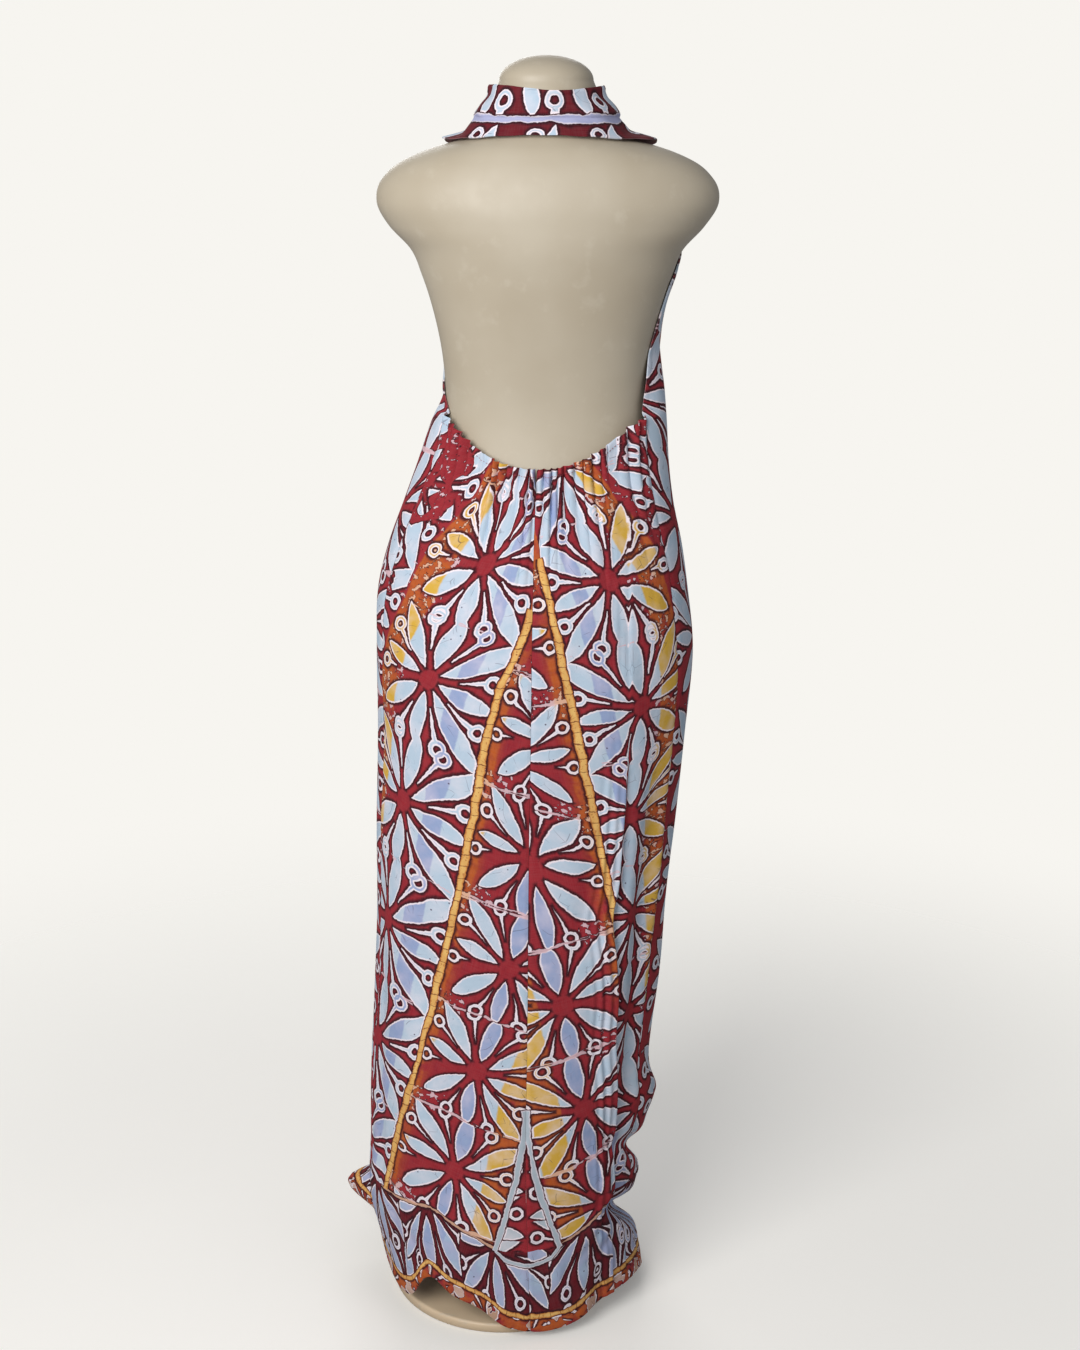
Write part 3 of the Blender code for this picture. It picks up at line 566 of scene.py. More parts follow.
def seam_relief(distance, along):
    """A seam's groove, and the fine puckers beside it."""
    groove = -SEAM_DEPTH * bell(distance, SEAM_WIDTH)
    pucker = np.sin(2.0 * np.pi * along / SEAM_PUCKER_PITCH + 2.1 * np.sin(along / 0.031))
    return groove + SEAM_PUCKER * pucker * bell(distance, SEAM_PUCKER_REACH)


def within(width, distance):
    """1 within a width of an edge, and 0 beyond it."""
    return 1.0 - ease(width - 0.001, width + 0.001, distance)


def outward(points, relief):
    """A grid of points moved along its own normals."""
    return points + relief[..., None] * grid_normals(points)


def hung_points(angle, height):
    """The dress's outer face with its puckers, creases and sway."""
    relief = pucker_relief(angle, height) + crease_relief(angle, height)
    relief = relief + sway_relief(angle, height)
    on_form = ease(FORM_UNDERSIDE - 0.06, FORM_UNDERSIDE, height)
    relief = relief + (np.maximum(relief, DEEPEST_ON_FORM) - relief) * on_form
    return to_points(angle, height, dress_radius(angle, height) + relief)


# Print of the cloth

# The stamp's cell, and the flower in it: petals by their direction, inner end, tip and half width
STAMP_HALF_WIDTH = 0.080
STAMP_HALF_LENGTH = 0.0735
PETAL_COLUMNS = ("Angle", "Start", "Tip", "Half_width", "Roundness")
PETALS = (
    (94.0, 0.015, 0.081, 0.0118, 0.74),
    (48.5, 0.015, 0.100, 0.0108, 0.84),
    (11.0, 0.015, 0.072, 0.0086, 0.76),
    (317.0, 0.016, 0.080, 0.0112, 0.72),
    (270.0, 0.016, 0.078, 0.0104, 0.72),
    (227.0, 0.015, 0.118, 0.0114, 0.90),
    (190.0, 0.015, 0.081, 0.0096, 0.78),
    (144.0, 0.015, 0.112, 0.0122, 0.84),
)

# Stalks with a ring at their end: direction, where the stalk starts, the ring's place and radii
STALK_COLUMNS = ("Angle", "Start", "Ring", "Outer", "Hole")
STALKS = (
    (120.5, 0.035, 0.077, 0.0100, 0.0046),
    (33.0, 0.040, 0.078, 0.0092, 0.0044),
    (353.0, 0.050, 0.070, 0.0086, 0.0041),
    (247.0, 0.034, 0.078, 0.0102, 0.0048),
    (209.0, 0.037, 0.078, 0.0098, 0.0048),
    (166.0, 0.037, 0.073, 0.0100, 0.0049),
    (70.0, 0.038, 0.077, 0.0096, 0.0046),
    (291.0, 0.036, 0.074, 0.0094, 0.0045),
)

# The layout of the stamps beside the drawn line: columns at equal distances on its two sides
COLUMN_WIDTH = 0.170
COLUMN_STAGGER = 0.046
LAVENDER_HALF_WIDTH = 0.0105
BAND_HALF_WIDTHS = (0.018, 0.0215)
LINE_HALF_WIDTH = 0.0046
LINE_CRACKS = 62.0
FRAME_HALF_WIDTH = 0.0012
CLEAR_OF_LINES = 0.0013
CLEAR_OF_STAMP = 0.0016

# The tent drawn at the seam's foot, and the scraps of the stamp inside it
TENT_APEX = 0.315
TENT_POWER = 1.6
TENT_SPREAD = 0.62
TENT_HALF_WIDTH = 0.0040
TENT_HALF_FOOT = 0.042
TENT_SAG = 0.018
TENT_FOOT_HALF_WIDTH = 0.0032
TENT_STAMP_BESIDE = 0.083
TENT_STAMP_PITCH = 0.062
TENT_STAMP_FIRST = 0.020

# The border by the hem: its top where the panel starts and from its side on, and its two rows
BORDER_FROM = (0.030, 0.140)
BORDER_TOP = (0.128, 0.176)
BORDER_RISE = (0.165, 0.135)
BORDER_START = 0.006
BORDER_PITCH = 0.104
BORDER_WIDENED = 1.28
BORDER_HALF = 0.5 * BORDER_WIDENED * BORDER_PITCH - 0.0010
BORDER_SCALE = 0.82
HEM_LINE = 0.022
HEM_LINE_HALF_WIDTH = 0.0034

# The collar's own row: the crease's place in the print, the row's pitch and the first ring
COLLAR_CREASE = 0.117
COLLAR_PITCH = 0.062
COLLAR_FIRST = 0.016
COLLAR_BAND_HALF_WIDTH = 0.0046
COLLAR_RING = {"Angle": 90.0, "Start": 0.060, "Ring": 0.081, "Outer": 0.0120, "Hole": 0.0058}
COLLAR_LOW_RING = {"Angle": 90.0, "Start": 0.060, "Ring": 0.066, "Outer": 0.0092, "Hole": 0.0046}
COLLAR_PETAL = {
    "Angle": -98.0, "Start": 0.0, "Tip": 0.047, "Half_width": 0.0100, "Roundness": 0.80,
}
COLLAR_LOW_PETAL = {
    "Angle": 74.0, "Start": 0.0, "Tip": 0.048, "Half_width": 0.0075, "Roundness": 0.80,
}

# Colours, as light values
PALE_BLUE = (0.520, 0.650, 0.790)
LAVENDER = (0.290, 0.370, 0.640)
YELLOW = (0.740, 0.450, 0.062)
LINE_YELLOW = (0.900, 0.560, 0.180)
LINE_AMBER = (0.80, 0.44, 0.13)
LINE_ORANGE = (0.600, 0.210, 0.045)
LINE_WORN = (0.42, 0.10, 0.02)
LINE_CRACKED = (0.200, 0.045, 0.015)
LINE_MARKED = (0.30, 0.05, 0.02)
GROUND = (0.355, 0.024, 0.035)
GROUND_MOTTLE = (0.220, 0.010, 0.026)
GROUND_DEEP = (0.032, 0.002, 0.008)
GROUND_ORANGE = (0.560, 0.128, 0.020)
RIM = (0.990, 0.880, 0.950)
FLECK = (0.880, 0.520, 0.360)
FAINT_PINK = (0.80, 0.54, 0.60)
CRACK = (0.060, 0.030, 0.080)
TENT_GREY = (0.480, 0.560, 0.640)
GREY_RIM = (0.80, 0.72, 0.80)
COLLAR_BAND = (0.450, 0.470, 0.700)
UNDER_HEM_LINE = (0.56, 0.34, 0.24)

# What each piece of cloth may set in its print, and the plain values
BATIK_NUMBERS = (
    ("Line", 1.0),
    ("Border", 1.0),
    ("Border first", 0.043),
    ("Inner start", 0.0),
    ("Outer start", 0.0),
    ("Inner length", 0.150),
    ("Outer length", 0.150),
    ("Band", 0.145),
    ("Lavender", 0.043),
    ("Pale line", -9.0),
    ("Collar", 0.0),
)


def written(operation, swapped=False):
    """A method that writes one Math node with the term and the other value."""
    def method(self, other=None):
        values = (other, self) if swapped else (self, other)
        return self.work.math(operation, *values)
    return method


class Term:
    """A value in a node tree. Arithmetic on it writes one small node for each step.

    Of two depths a and b, a & b is the smaller, inside both shapes, and a | b the larger, inside
    either. A comparison gives 1 where it holds, and 0 elsewhere.
    """

    def __init__(self, work, socket):
        self.work = work
        self.socket = socket

    __add__ = written("ADD")
    __radd__ = written("ADD", swapped=True)
    __sub__ = written("SUBTRACT")
    __rsub__ = written("SUBTRACT", swapped=True)
    __mul__ = written("MULTIPLY")
    __truediv__ = written("DIVIDE")
    __rtruediv__ = written("DIVIDE", swapped=True)
    __pow__ = written("POWER")
    __mod__ = written("FLOORED_MODULO")
    __and__ = written("MINIMUM")
    __or__ = written("MAXIMUM")
    __lt__ = written("LESS_THAN")
    __gt__ = written("GREATER_THAN")
    __abs__ = written("ABSOLUTE")
    __floor__ = written("FLOOR")


class Formula:
    """Writes formulas into a node tree."""

    def __init__(self, tree):
        self.tree = tree

    def node(self, kind, inputs=None, **settings):
        """A new node with its settings, and its inputs by name or number."""
        made = self.tree.nodes.new(kind)
        for name, value in settings.items():
            setattr(made, name, value)
        self.fill(made.inputs, inputs or {})
        return made

    def read(self, kind, output=0, inputs=None, **settings):
        """One output of a new node."""
        return Term(self, self.node(kind, inputs, **settings).outputs[output])

    def feed(self, socket, value):
        """Links a socket, or sets its plain value."""
        if isinstance(value, Term):
            self.tree.links.new(value.socket, socket)
        elif value is not None:
            socket.default_value = value

    def fill(self, sockets, values):
        """Feeds sockets by their names or numbers."""
        for name, value in values.items():
            self.feed(sockets[name], value)

    def outputs(self, made):
        """A node's outputs by name."""
        return {output.name: Term(self, output) for output in made.outputs}

    def math(self, operation, *values):
        """One Math node."""
        return self.read("ShaderNodeMath", inputs=dict(enumerate(values)), operation=operation)

    def step(self, value, low, high):
        """0 at low, 1 at high, smooth between them."""
        given = {"Value": value, "From Min": low, "From Max": high}
        settings = {"interpolation_type": "SMOOTHSTEP", "clamp": True}
        return self.read("ShaderNodeMapRange", inputs=given, **settings)

    def line(self, value, low, high, first, last):
        """A straight ramp from first to last."""
        given = {"Value": value, "From Min": low, "From Max": high}
        given.update({"To Min": first, "To Max": last})
        return self.read("ShaderNodeMapRange", inputs=given, clamp=True)

    def mix(self, share, first, second):
        """A colour between two."""
        given = {"Factor": share}
        for number, colour in ((6, first), (7, second)):
            given[number] = colour if isinstance(colour, Term) else (*colour, 1.0)
        return self.read("ShaderNodeMix", 2, given, data_type="RGBA")

    def choose(self, share, first, second):
        """A number between two."""
        return first + share * (second - first)

    def join(self, x, y, z=0.0):
        """A vector from numbers."""
        return self.read("ShaderNodeCombineXYZ", inputs={0: x, 1: y, 2: z})

    def parts(self, vector):
        """The three numbers of a vector."""
        made = self.node("ShaderNodeSeparateXYZ", {0: vector})
        return [Term(self, output) for output in made.outputs]

    def vector(self, operation, *values):
        """One Vector Math node."""
        output = "Value" if operation == "LENGTH" else "Vector"
        given = dict(enumerate(values))
        return self.read("ShaderNodeVectorMath", output, given, operation=operation)

    def scaled(self, vector, factor):
        """A vector times a number."""
        given = {0: vector, "Scale": factor}
        return self.read("ShaderNodeVectorMath", inputs=given, operation="SCALE")

    def noise(self, vector, scale, detail=2.0, roughness=0.5, output="Fac"):
        """A noise texture's value, or its colour."""
        given = {"Vector": vector, "Scale": scale, "Detail": detail, "Roughness": roughness}
        return self.read("ShaderNodeTexNoise", output, given, noise_dimensions="3D")

    def cells(self, vector, scale, feature="F1"):
        """A Voronoi texture's outputs by name."""
        given = {"Vector": vector, "Scale": scale}
        return self.outputs(self.node("ShaderNodeTexVoronoi", given, feature=feature))

    def group(self, tree, **given):
        """A node group placed here with its inputs: its outputs by name."""
        inputs = {name.replace("_", " "): value for name, value in given.items()}
        return self.outputs(self.node("ShaderNodeGroup", inputs, node_tree=tree))


def new_group(name, vectors, numbers, outputs):
    """An empty shader group: its formula writer, its inputs by name and its output sockets."""
    tree = bpy.data.node_groups.new(name, "ShaderNodeTree")
    for label in vectors:
        tree.interface.new_socket(label, in_out="INPUT", socket_type="NodeSocketVector")
    for label, value in numbers:
        socket = tree.interface.new_socket(label, in_out="INPUT", socket_type="NodeSocketFloat")
        socket.default_value = value
    for label, kind in outputs:
        tree.interface.new_socket(label, in_out="OUTPUT", socket_type=kind)
    work = Formula(tree)
    given = work.outputs(work.node("NodeGroupInput"))
    return work, given, work.node("NodeGroupOutput").inputs


def shape_group(name, columns, depth_of):
    """A group that gives the depth inside one shape, in a place turned by the shape's angle."""
    numbers = [(column.replace("_", " "), 0.0) for column in columns]
    work, given, out = new_group(name, ["Place"], numbers, [("Depth", "NodeSocketFloat")])
    turned = {"Vector": given["Place"], "Angle": given["Angle"] * (-math.pi / 180.0)}
    place = work.read("ShaderNodeVectorRotate", inputs=turned, rotation_type="Z_AXIS")
    x, y = work.parts(place)[:2]
    work.feed(out["Depth"], depth_of(work, given, x, y))
    return work.tree


def petal_depth(work, given, x, y):
    """Depth inside a petal: its half width times a rounded power of 4t(1 - t), less the offset."""
    late = work.line(x, given["Start"], given["Tip"], 0.0, 1.0) ** 1.15
    bulge = late * (1.0 - late) * 4.0
    half = given["Half width"] * bulge ** given["Roundness"]
    return (half - abs(y)) & ((x - given["Start"]) & (given["Tip"] - x))


def stalk_depth(work, given, x, y):
    """Depth inside a stalk that widens towards the ring at its end."""
    half = work.line(x, given["Start"], given["Ring"], 0.0004, 0.0034)
    stalk = (half - abs(y)) & ((x - given["Start"]) & (given["Ring"] - x))
    radius = work.vector("LENGTH", work.join(x - given["Ring"], y))
    return (stalk | (given["Outer"] - radius)) & (radius - given["Hole"])


def flower_group(petal, stalk):
    """The whole stamp: the deepest of its petals and stalks."""
    work, given, out = new_group("flower stamp", ["Place"], [], [("Depth", "NodeSocketFloat")])
    depth = None
    for tree, columns, rows in ((petal, PETAL_COLUMNS, PETALS), (stalk, STALK_COLUMNS, STALKS)):
        for row in rows:
            shape = work.group(tree, Place=given["Place"], **dict(zip(columns, row)))["Depth"]
            depth = shape if depth is None else depth | shape
    work.feed(out["Depth"], depth)
    return work.tree


def batik_group(flower, petal, stalk):
    """The dyed cloth: stripes under a wax print of stamped flowers, drawn lines and crackle.

    Print holds the distance from the drawn line and the place along it, Place the distance from
    the centre seam, the height and the distance above the hem. All are in metres. A shape is a
    depth in metres, above 0 inside it.
    """
    outputs = [("Color", "NodeSocketColor"), ("Wax", "NodeSocketFloat")]
    work, given, out = new_group("batik print", ["Print", "Place"], BATIK_NUMBERS, outputs)
    step, line, choose, mix = work.step, work.line, work.choose, work.mix
    printed = given["Print"]
    bordered = given["Border"]
    lined = given["Line"]
    collar = given["Collar"]

    def cloudy(scale, detail=2.0, roughness=0.5):
        """Noise over the print."""
        return work.noise(printed, scale, detail, roughness)

    def shape(tree, x, y, **numbers):
        """Depth inside a shape of the stamp at a place."""
        return work.group(tree, Place=work.join(x, y), **numbers)["Depth"]

    # The hand's wobble, slow and fine
    middle = (0.5, 0.5, 0.5)
    slow = work.vector("SUBTRACT", work.noise(printed, 26.0, 1.0, output="Color"), middle)
    fine = work.vector("SUBTRACT", work.noise(printed, 230.0, 2.0, output="Color"), middle)
    wobble = work.vector("ADD", work.scaled(slow, 0.0075), work.scaled(fine, 0.0024))
    across, along = work.parts(work.vector("ADD", printed, wobble))[:2]
    beside, height, above_hem = work.parts(work.vector("ADD", given["Place"], wobble))
    cloud = cloudy(34.0, 3.0)
    swing = cloudy(21.0) - 0.5
    far = abs(across)

    # The stamps in their columns on the two sides of the drawn line
    inner = across < 0.0
    outer = 1.0 - inner
    column = math.floor(across / COLUMN_WIDTH)
    length = choose(inner, given["Outer length"], given["Inner length"])
    start = choose(inner, given["Outer start"], given["Inner start"])
    start = start + (column + inner) * COLUMN_STAGGER
    rows = (along - start) / length
    x = (across - (column + 0.5) * COLUMN_WIDTH) * (2.0 * STAMP_HALF_WIDTH / COLUMN_WIDTH)
    y = (rows - math.floor(rows + 0.5)) * (2.0 * STAMP_HALF_LENGTH)

    # The border: flowers hang from the frame's foot line, others rise from the hem between them
    foot = line(beside, *BORDER_FROM, *BORDER_TOP)
    in_border = (height < foot) * bordered
    border_rows = (beside - given["Border first"]) / BORDER_PITCH
    border_x = (border_rows - math.floor(border_rows + 0.5)) * (BORDER_WIDENED * BORDER_PITCH)
    border_y = (foot + BORDER_START - height) * BORDER_SCALE
    rising_row = math.floor(border_rows) + 0.5
    rising_x = (border_rows - rising_row) * (BORDER_WIDENED * BORDER_PITCH)
    rising_y = line(beside, *BORDER_FROM, *BORDER_RISE) - border_y

    # Under the hem line, scraps of a next row, moved along by part of a stamp
    in_foot = (above_hem < HEM_LINE) * bordered
    foot_rows = border_rows + 0.37
    foot_x = (foot_rows - math.floor(foot_rows)) * BORDER_PITCH - 0.5 * BORDER_PITCH
    border_x = choose(in_foot, border_x, foot_x)
    border_y = choose(in_foot, border_y, above_hem * 1.5 + 0.034)
    hanging = in_border * (1.0 - in_foot)
    in_border = in_border | in_foot

    # The tent at the seam's foot, with scraps of the same stamp inside it
    inside_tent = ((TENT_APEX - height) | 0.0) ** TENT_POWER * TENT_SPREAD - beside
    in_tent = (inside_tent > 0.0) * bordered * (height < TENT_APEX) * (height > foot)
    tent_y = (height + given["Border first"]) % TENT_STAMP_PITCH - TENT_STAMP_FIRST
    x = choose(in_tent, x, beside - TENT_STAMP_BESIDE)
    y = choose(in_tent, y, tent_y)
    x = choose(in_border, x, border_x)
    y = choose(in_border, y, abs(border_y))
    special = in_border | in_tent
    wax = shape(flower, x, y)
    wax = wax & choose(in_border, 1.0, BORDER_HALF - abs(x))

    # The next stamp: in the outer columns its petals run over the join, in the border it rises
    next_y = y - work.math("SIGN", y) * (2.0 * STAMP_HALF_LENGTH)
    next_x = choose(hanging, x, rising_x)
    next_y = choose(hanging, next_y, rising_y)
    clear = (BORDER_HALF - abs(rising_x)) & (-CLEAR_OF_STAMP - wax)
    next_wax = shape(flower, next_x, next_y) & choose(hanging, 1.0, clear)
    joined = (outer * (1.0 - special)) | hanging
    wax = wax | choose(joined, -1.0, next_wax)

    # The outer columns' wax lies a little broader than the inner ones'
    wax = wax + choose(inner, 0.0002, -0.0007)

    # Round the collar, thick rings and petals in turn stand over the crease's band
    up = COLLAR_CREASE - across
    turn = (along + COLLAR_FIRST) / COLLAR_PITCH
    ring_x = (turn - math.floor(turn + 0.5)) * COLLAR_PITCH
    petal_x = (turn - (math.floor(turn) + 0.5)) * COLLAR_PITCH
    ring_foot = (0.0048 - abs(ring_x)) & (0.0125 - up)
    above_crease = shape(stalk, ring_x, up + 0.060, **COLLAR_RING) | ring_foot
    above_crease = above_crease | shape(petal, petal_x, up - 0.050, **COLLAR_PETAL)
    under_crease = shape(stalk, petal_x + 0.010, 0.046 - up, **COLLAR_LOW_RING)
    under_crease = under_crease | shape(petal, ring_x, -0.008 - up, **COLLAR_LOW_PETAL)
    wax = choose(collar, wax, choose(up < 0.0, above_crease, under_crease))

    # The drawn lines: beside the flowers, at the frame's foot, over the hem and round the tent
    waver = (cloudy(110.0) - 0.5) * 0.0036 + swing * 0.0052
    line_on = (along < 0.0) * (height > foot) * lined
    line_depth = choose(line_on, -1.0, LINE_HALF_WIDTH + waver - far)
    foot_on = (beside > TENT_HALF_FOOT) * bordered * (across < 0.012)
    foot_depth = choose(foot_on, -1.0, FRAME_HALF_WIDTH + waver - abs(height - foot))
    hem_depth = HEM_LINE_HALF_WIDTH + waver - abs(above_hem - HEM_LINE)
    hem_depth = choose(bordered, -1.0, hem_depth)
    tent_sides = TENT_HALF_WIDTH + waver - abs(inside_tent)
    tent_sides = tent_sides & ((TENT_APEX + 0.004 - height) & (height - (foot - 0.004)))
    sag = (foot - 0.002) - (1.0 - (beside / TENT_HALF_FOOT) ** 2.0) * TENT_SAG
    tent_foot = TENT_FOOT_HALF_WIDTH + waver * 0.5 - abs(height - sag)
    tent_foot = tent_foot & (TENT_HALF_FOOT - beside)
    pale_line = COLLAR_BAND_HALF_WIDTH + waver + swing * 0.0080
    pale_line = pale_line - abs(across - given["Pale line"])
    tent_depth = choose(bordered, -1.0, tent_sides | tent_foot) | pale_line
    drawn = line_depth | hem_depth
    lines = (drawn | foot_depth) | tent_depth

    # Petals stop short of the drawn lines and of the stamp's own edge
    wax = wax & (-CLEAR_OF_LINES - lines)
    edge_x = (STAMP_HALF_WIDTH - 0.0008) - abs(x)
    edge_y = (STAMP_HALF_LENGTH - 0.0006) - abs(y)
    special = special | collar
    edges = edge_x & choose(inner & (1.0 - special), 1.0, edge_y)
    wax = wax & choose(collar, edges, 1.0)

    # Near the low back's ends the outer column is nearly bare, and under the hem line patchy
    bare = step(far, 0.138, 0.166) * step(along, -0.095, -0.045) * lined * outer
    tips_from = 0.062 + (cloud - 0.5) * 0.06
    tips = work.vector("LENGTH", work.join(x, y)) - tips_from
    left_over = ((cloudy(24.0, 1.0) - 0.58) * 0.25) | tips
    wax = wax & choose(bare, 1.0, left_over)
    wax = wax & choose(in_foot, 1.0, (cloudy(70.0, 1.0) - 0.50) * 0.12)

    # The faint broken line where one stamp meets the next, and loose flecks of wax
    seam_half = choose(inner, 0.0008, line(cloud, 0.35, 0.65, 0.0002, 0.0024))
    seam = seam_half - abs(edge_y + swing * 0.0100)
    seam = seam & ((cloudy(48.0) - choose(inner, 0.55, 0.42)) * 0.05)
    seam = choose(special, seam, -1.0)
    near_line = step(far, 0.058, 0.040) * inner * lined
    near_seam = near_line * step(abs(edge_y), 0.030, 0.014)
    near_band = step(abs(far - (given["Band"] - 0.006)), 0.030, 0.018) * outer
    allowed = (near_seam | near_band | (bare * 0.73)) * (1.0 - special)
    scrap = (cloudy(125.0, 2.0, 0.6) - choose(allowed, 0.80, 0.570)) * 0.03
    loose = seam | (scrap & (-0.0024 - wax))
    all_wax = (wax | loose) | lines

    # Stripes of the cloth under the wax
    stripe_at = choose(inner, given["Lavender"], 0.5 * COLUMN_WIDTH)
    stripe_half = choose(inner, LAVENDER_HALF_WIDTH, 1.45 * LAVENDER_HALF_WIDTH)
    lavender = step(abs(far - stripe_at), stripe_half + 0.0012, stripe_half - 0.0012)
    lavender = lavender * line(cloud, 0.30, 0.60, 0.72, 1.0)
    lavender = lavender | (in_border * line(cloud, 0.35, 0.62, 0.25, 1.0))
    band = 1.0 - step(abs(far - given["Band"]), *BAND_HALF_WIDTHS)
    fringe = 1.0 - step(far + (cloudy(14.0, 1.0) - 0.5) * 0.018, 0.013, 0.019)
    yellow = (band | (fringe * (lined * inner))) * (1.0 - special)
    under = mix(lavender, PALE_BLUE, LAVENDER)
    for share, colour in ((yellow, YELLOW), (in_tent, TENT_GREY), (in_foot, UNDER_HEM_LINE)):
        under = mix(share, under, colour)
    pale = mix(line(cloud, 0.42, 0.74, 0.0, 0.42), under, RIM)

    # The dyed ground: brick red, deep beside the wax, burnt orange over the yellow
    beside_line = step(far, 0.030, 0.008) * (lined * inner)
    warm = (yellow | (beside_line * 0.6)) * step(cloud, 0.28, 0.50)
    near_hem = step(above_hem, 0.034, 0.020) * bordered
    warm = warm | (near_hem * step(cloud, 0.35, 0.62))
    ground = mix(warm * 0.85, GROUND, GROUND_ORANGE)
    ground = mix(line(cloudy(90.0, 4.0, 0.6), 0.44, 0.72, 0.0, 0.42), ground, GROUND_MOTTLE)
    close = step((wax | (loose * 3.0)) | lines, -0.0050, -0.0012)
    ground = mix(close * 0.94, ground, GROUND_DEEP)
    ground = mix((hanging | collar) * 0.62, ground, GROUND_DEEP)

    # Crackle: hairlines where the wax broke, and a few specks of dye
    bent = work.vector("ADD", printed, work.scaled(slow, 0.02))
    hair = 1.0 - step(work.cells(bent, 38.0, "DISTANCE_TO_EDGE")["Distance"], 0.004, 0.014)
    hair = hair * step(cloudy(60.0, 1.0), 0.48, 0.60)
    dots = work.cells(printed, 120.0)
    speck = 1.0 - step(dots["Distance"], 0.10, 0.16)
    speck = speck * (work.parts(dots["Color"])[0] > 0.90)
    marks = (hair * choose(yellow, 0.46, 0.64)) | (speck * 0.8)

    # The wax, from its inside to its pinkish rim
    body = mix(marks, pale, CRACK)
    body = mix(step(wax, 0.0024, 0.0008), body, RIM)
    body = mix(step(all_wax, 0.0016, 0.0004) * 0.5, body, RIM)

    # The drawn lines' own colour, cracked across at an uneven beat
    run_on = choose(line_depth > hem_depth, beside, along) + across * 0.30
    beat = run_on * LINE_CRACKS + cloud * 0.9
    crossed = step(abs(work.math("FRACT", beat) - 0.5), 0.050, 0.016)
    ink = mix(step(cloud, 0.36, 0.62), LINE_YELLOW, LINE_AMBER)
    ink = mix(step(drawn, 0.0022, 0.0002), ink, LINE_ORANGE)
    ink = mix(step(cloudy(260.0), 0.60, 0.68) * 0.6, ink, LINE_WORN)
    ink = mix(crossed * 0.85, ink, LINE_CRACKED)
    ink = mix(marks * 0.9, ink, LINE_MARKED)
    grey = mix(collar, TENT_GREY, COLLAR_BAND)
    grey = mix(step(tent_depth, 0.0020, 0.0004), grey, GREY_RIM)

    # All of it laid over the ground in turn
    coloured = mix(step(wax, -0.00035, 0.00035), ground, body)
    faint = mix(warm, FAINT_PINK, FLECK)
    coloured = mix(step(loose, -0.0004, 0.0006) * 0.90, coloured, faint)
    coloured = mix(step(foot_depth, -0.0004, 0.0004) * 0.7, coloured, FLECK)
    coloured = mix(step(tent_depth, -0.0004, 0.0004), coloured, grey)
    coloured = mix(step(drawn, -0.0004, 0.0004), coloured, ink)
    work.feed(out["Color"], coloured)
    work.feed(out["Wax"], step(all_wax, -0.0004, 0.0004))
    return work.tree


def weave_group():
    """Plain weave: two crossed waves a thread apart, and slubs that thicken some threads."""
    outputs = [("Height", "NodeSocketFloat"), ("Slub", "NodeSocketFloat")]
    work, given, out = new_group("plain weave", ["Place"], [("Thread", 0.00055)], outputs)
    place = given["Place"]
    turn = 2.0 * math.pi / given["Thread"]
    warp, weft = [work.math("SINE", number * turn) for number in work.parts(place)[:2]]
    cross = (warp * weft + 1.0) * 0.5
    along_warp, along_weft = [
        work.noise(work.vector("MULTIPLY", place, stretch), 1.0, 1.0)
        for stretch in ((900.0, 40.0, 1.0), (40.0, 900.0, 1.0))
    ]
    slub = (along_warp + along_weft) * 0.5
    work.feed(out["Height"], cross * 0.6 + slub * 0.4)
    work.feed(out["Slub"], slub)
    return work.tree


# Finishes

# Colours of the finishes, as light values; where there are two, they are the ends of a mottle
PALE_THREAD = (0.90, 0.86, 0.84)
COTTON_INSIDE = (0.72, 0.66, 0.68)
FORM_SHELL = ((0.555, 0.488, 0.380), (0.505, 0.435, 0.328))
FORM_RUBBED = (0.660, 0.600, 0.490)
PLATE_PAINT = ((0.780, 0.610, 0.420), (0.700, 0.535, 0.355))
PLATE_WORN = (0.62, 0.55, 0.44)
POLE_STEEL = ((0.48, 0.47, 0.45), (0.66, 0.65, 0.63))
SEWING_THREAD = ((0.300, 0.045, 0.060), (0.480, 0.120, 0.130))
FLOOR_SEEN = ((0.90, 0.885, 0.85), (0.93, 0.915, 0.88))
FLOOR_UNSEEN = (0.36, 0.34, 0.33)
FLOOR_GLOW = ((0.0, 0.0, 0.0), (1.0, 0.985, 0.945))


def new_material(name):
    """A material, its formula writer and its shader's inputs."""
    material = bpy.data.materials.new(name)
    material.use_nodes = True
    tree = material.node_tree
    return material, Formula(tree), tree.nodes["Principled BSDF"].inputs


def own_place(work):
    """The place of each point of a piece."""
    return work.read("ShaderNodeTexCoord", "Object")


def from_middle(work, place):
    """Level distance of a place from the middle of the floor."""
    return work.vector("LENGTH", work.join(*work.parts(place)[:2]))


def bump(work, height, distance, strength, below=None):
    """A Bump node's normal."""
    given = {"Height": height, "Distance": distance, "Strength": strength, "Normal": below}
    return work.read("ShaderNodeBump", inputs=given)


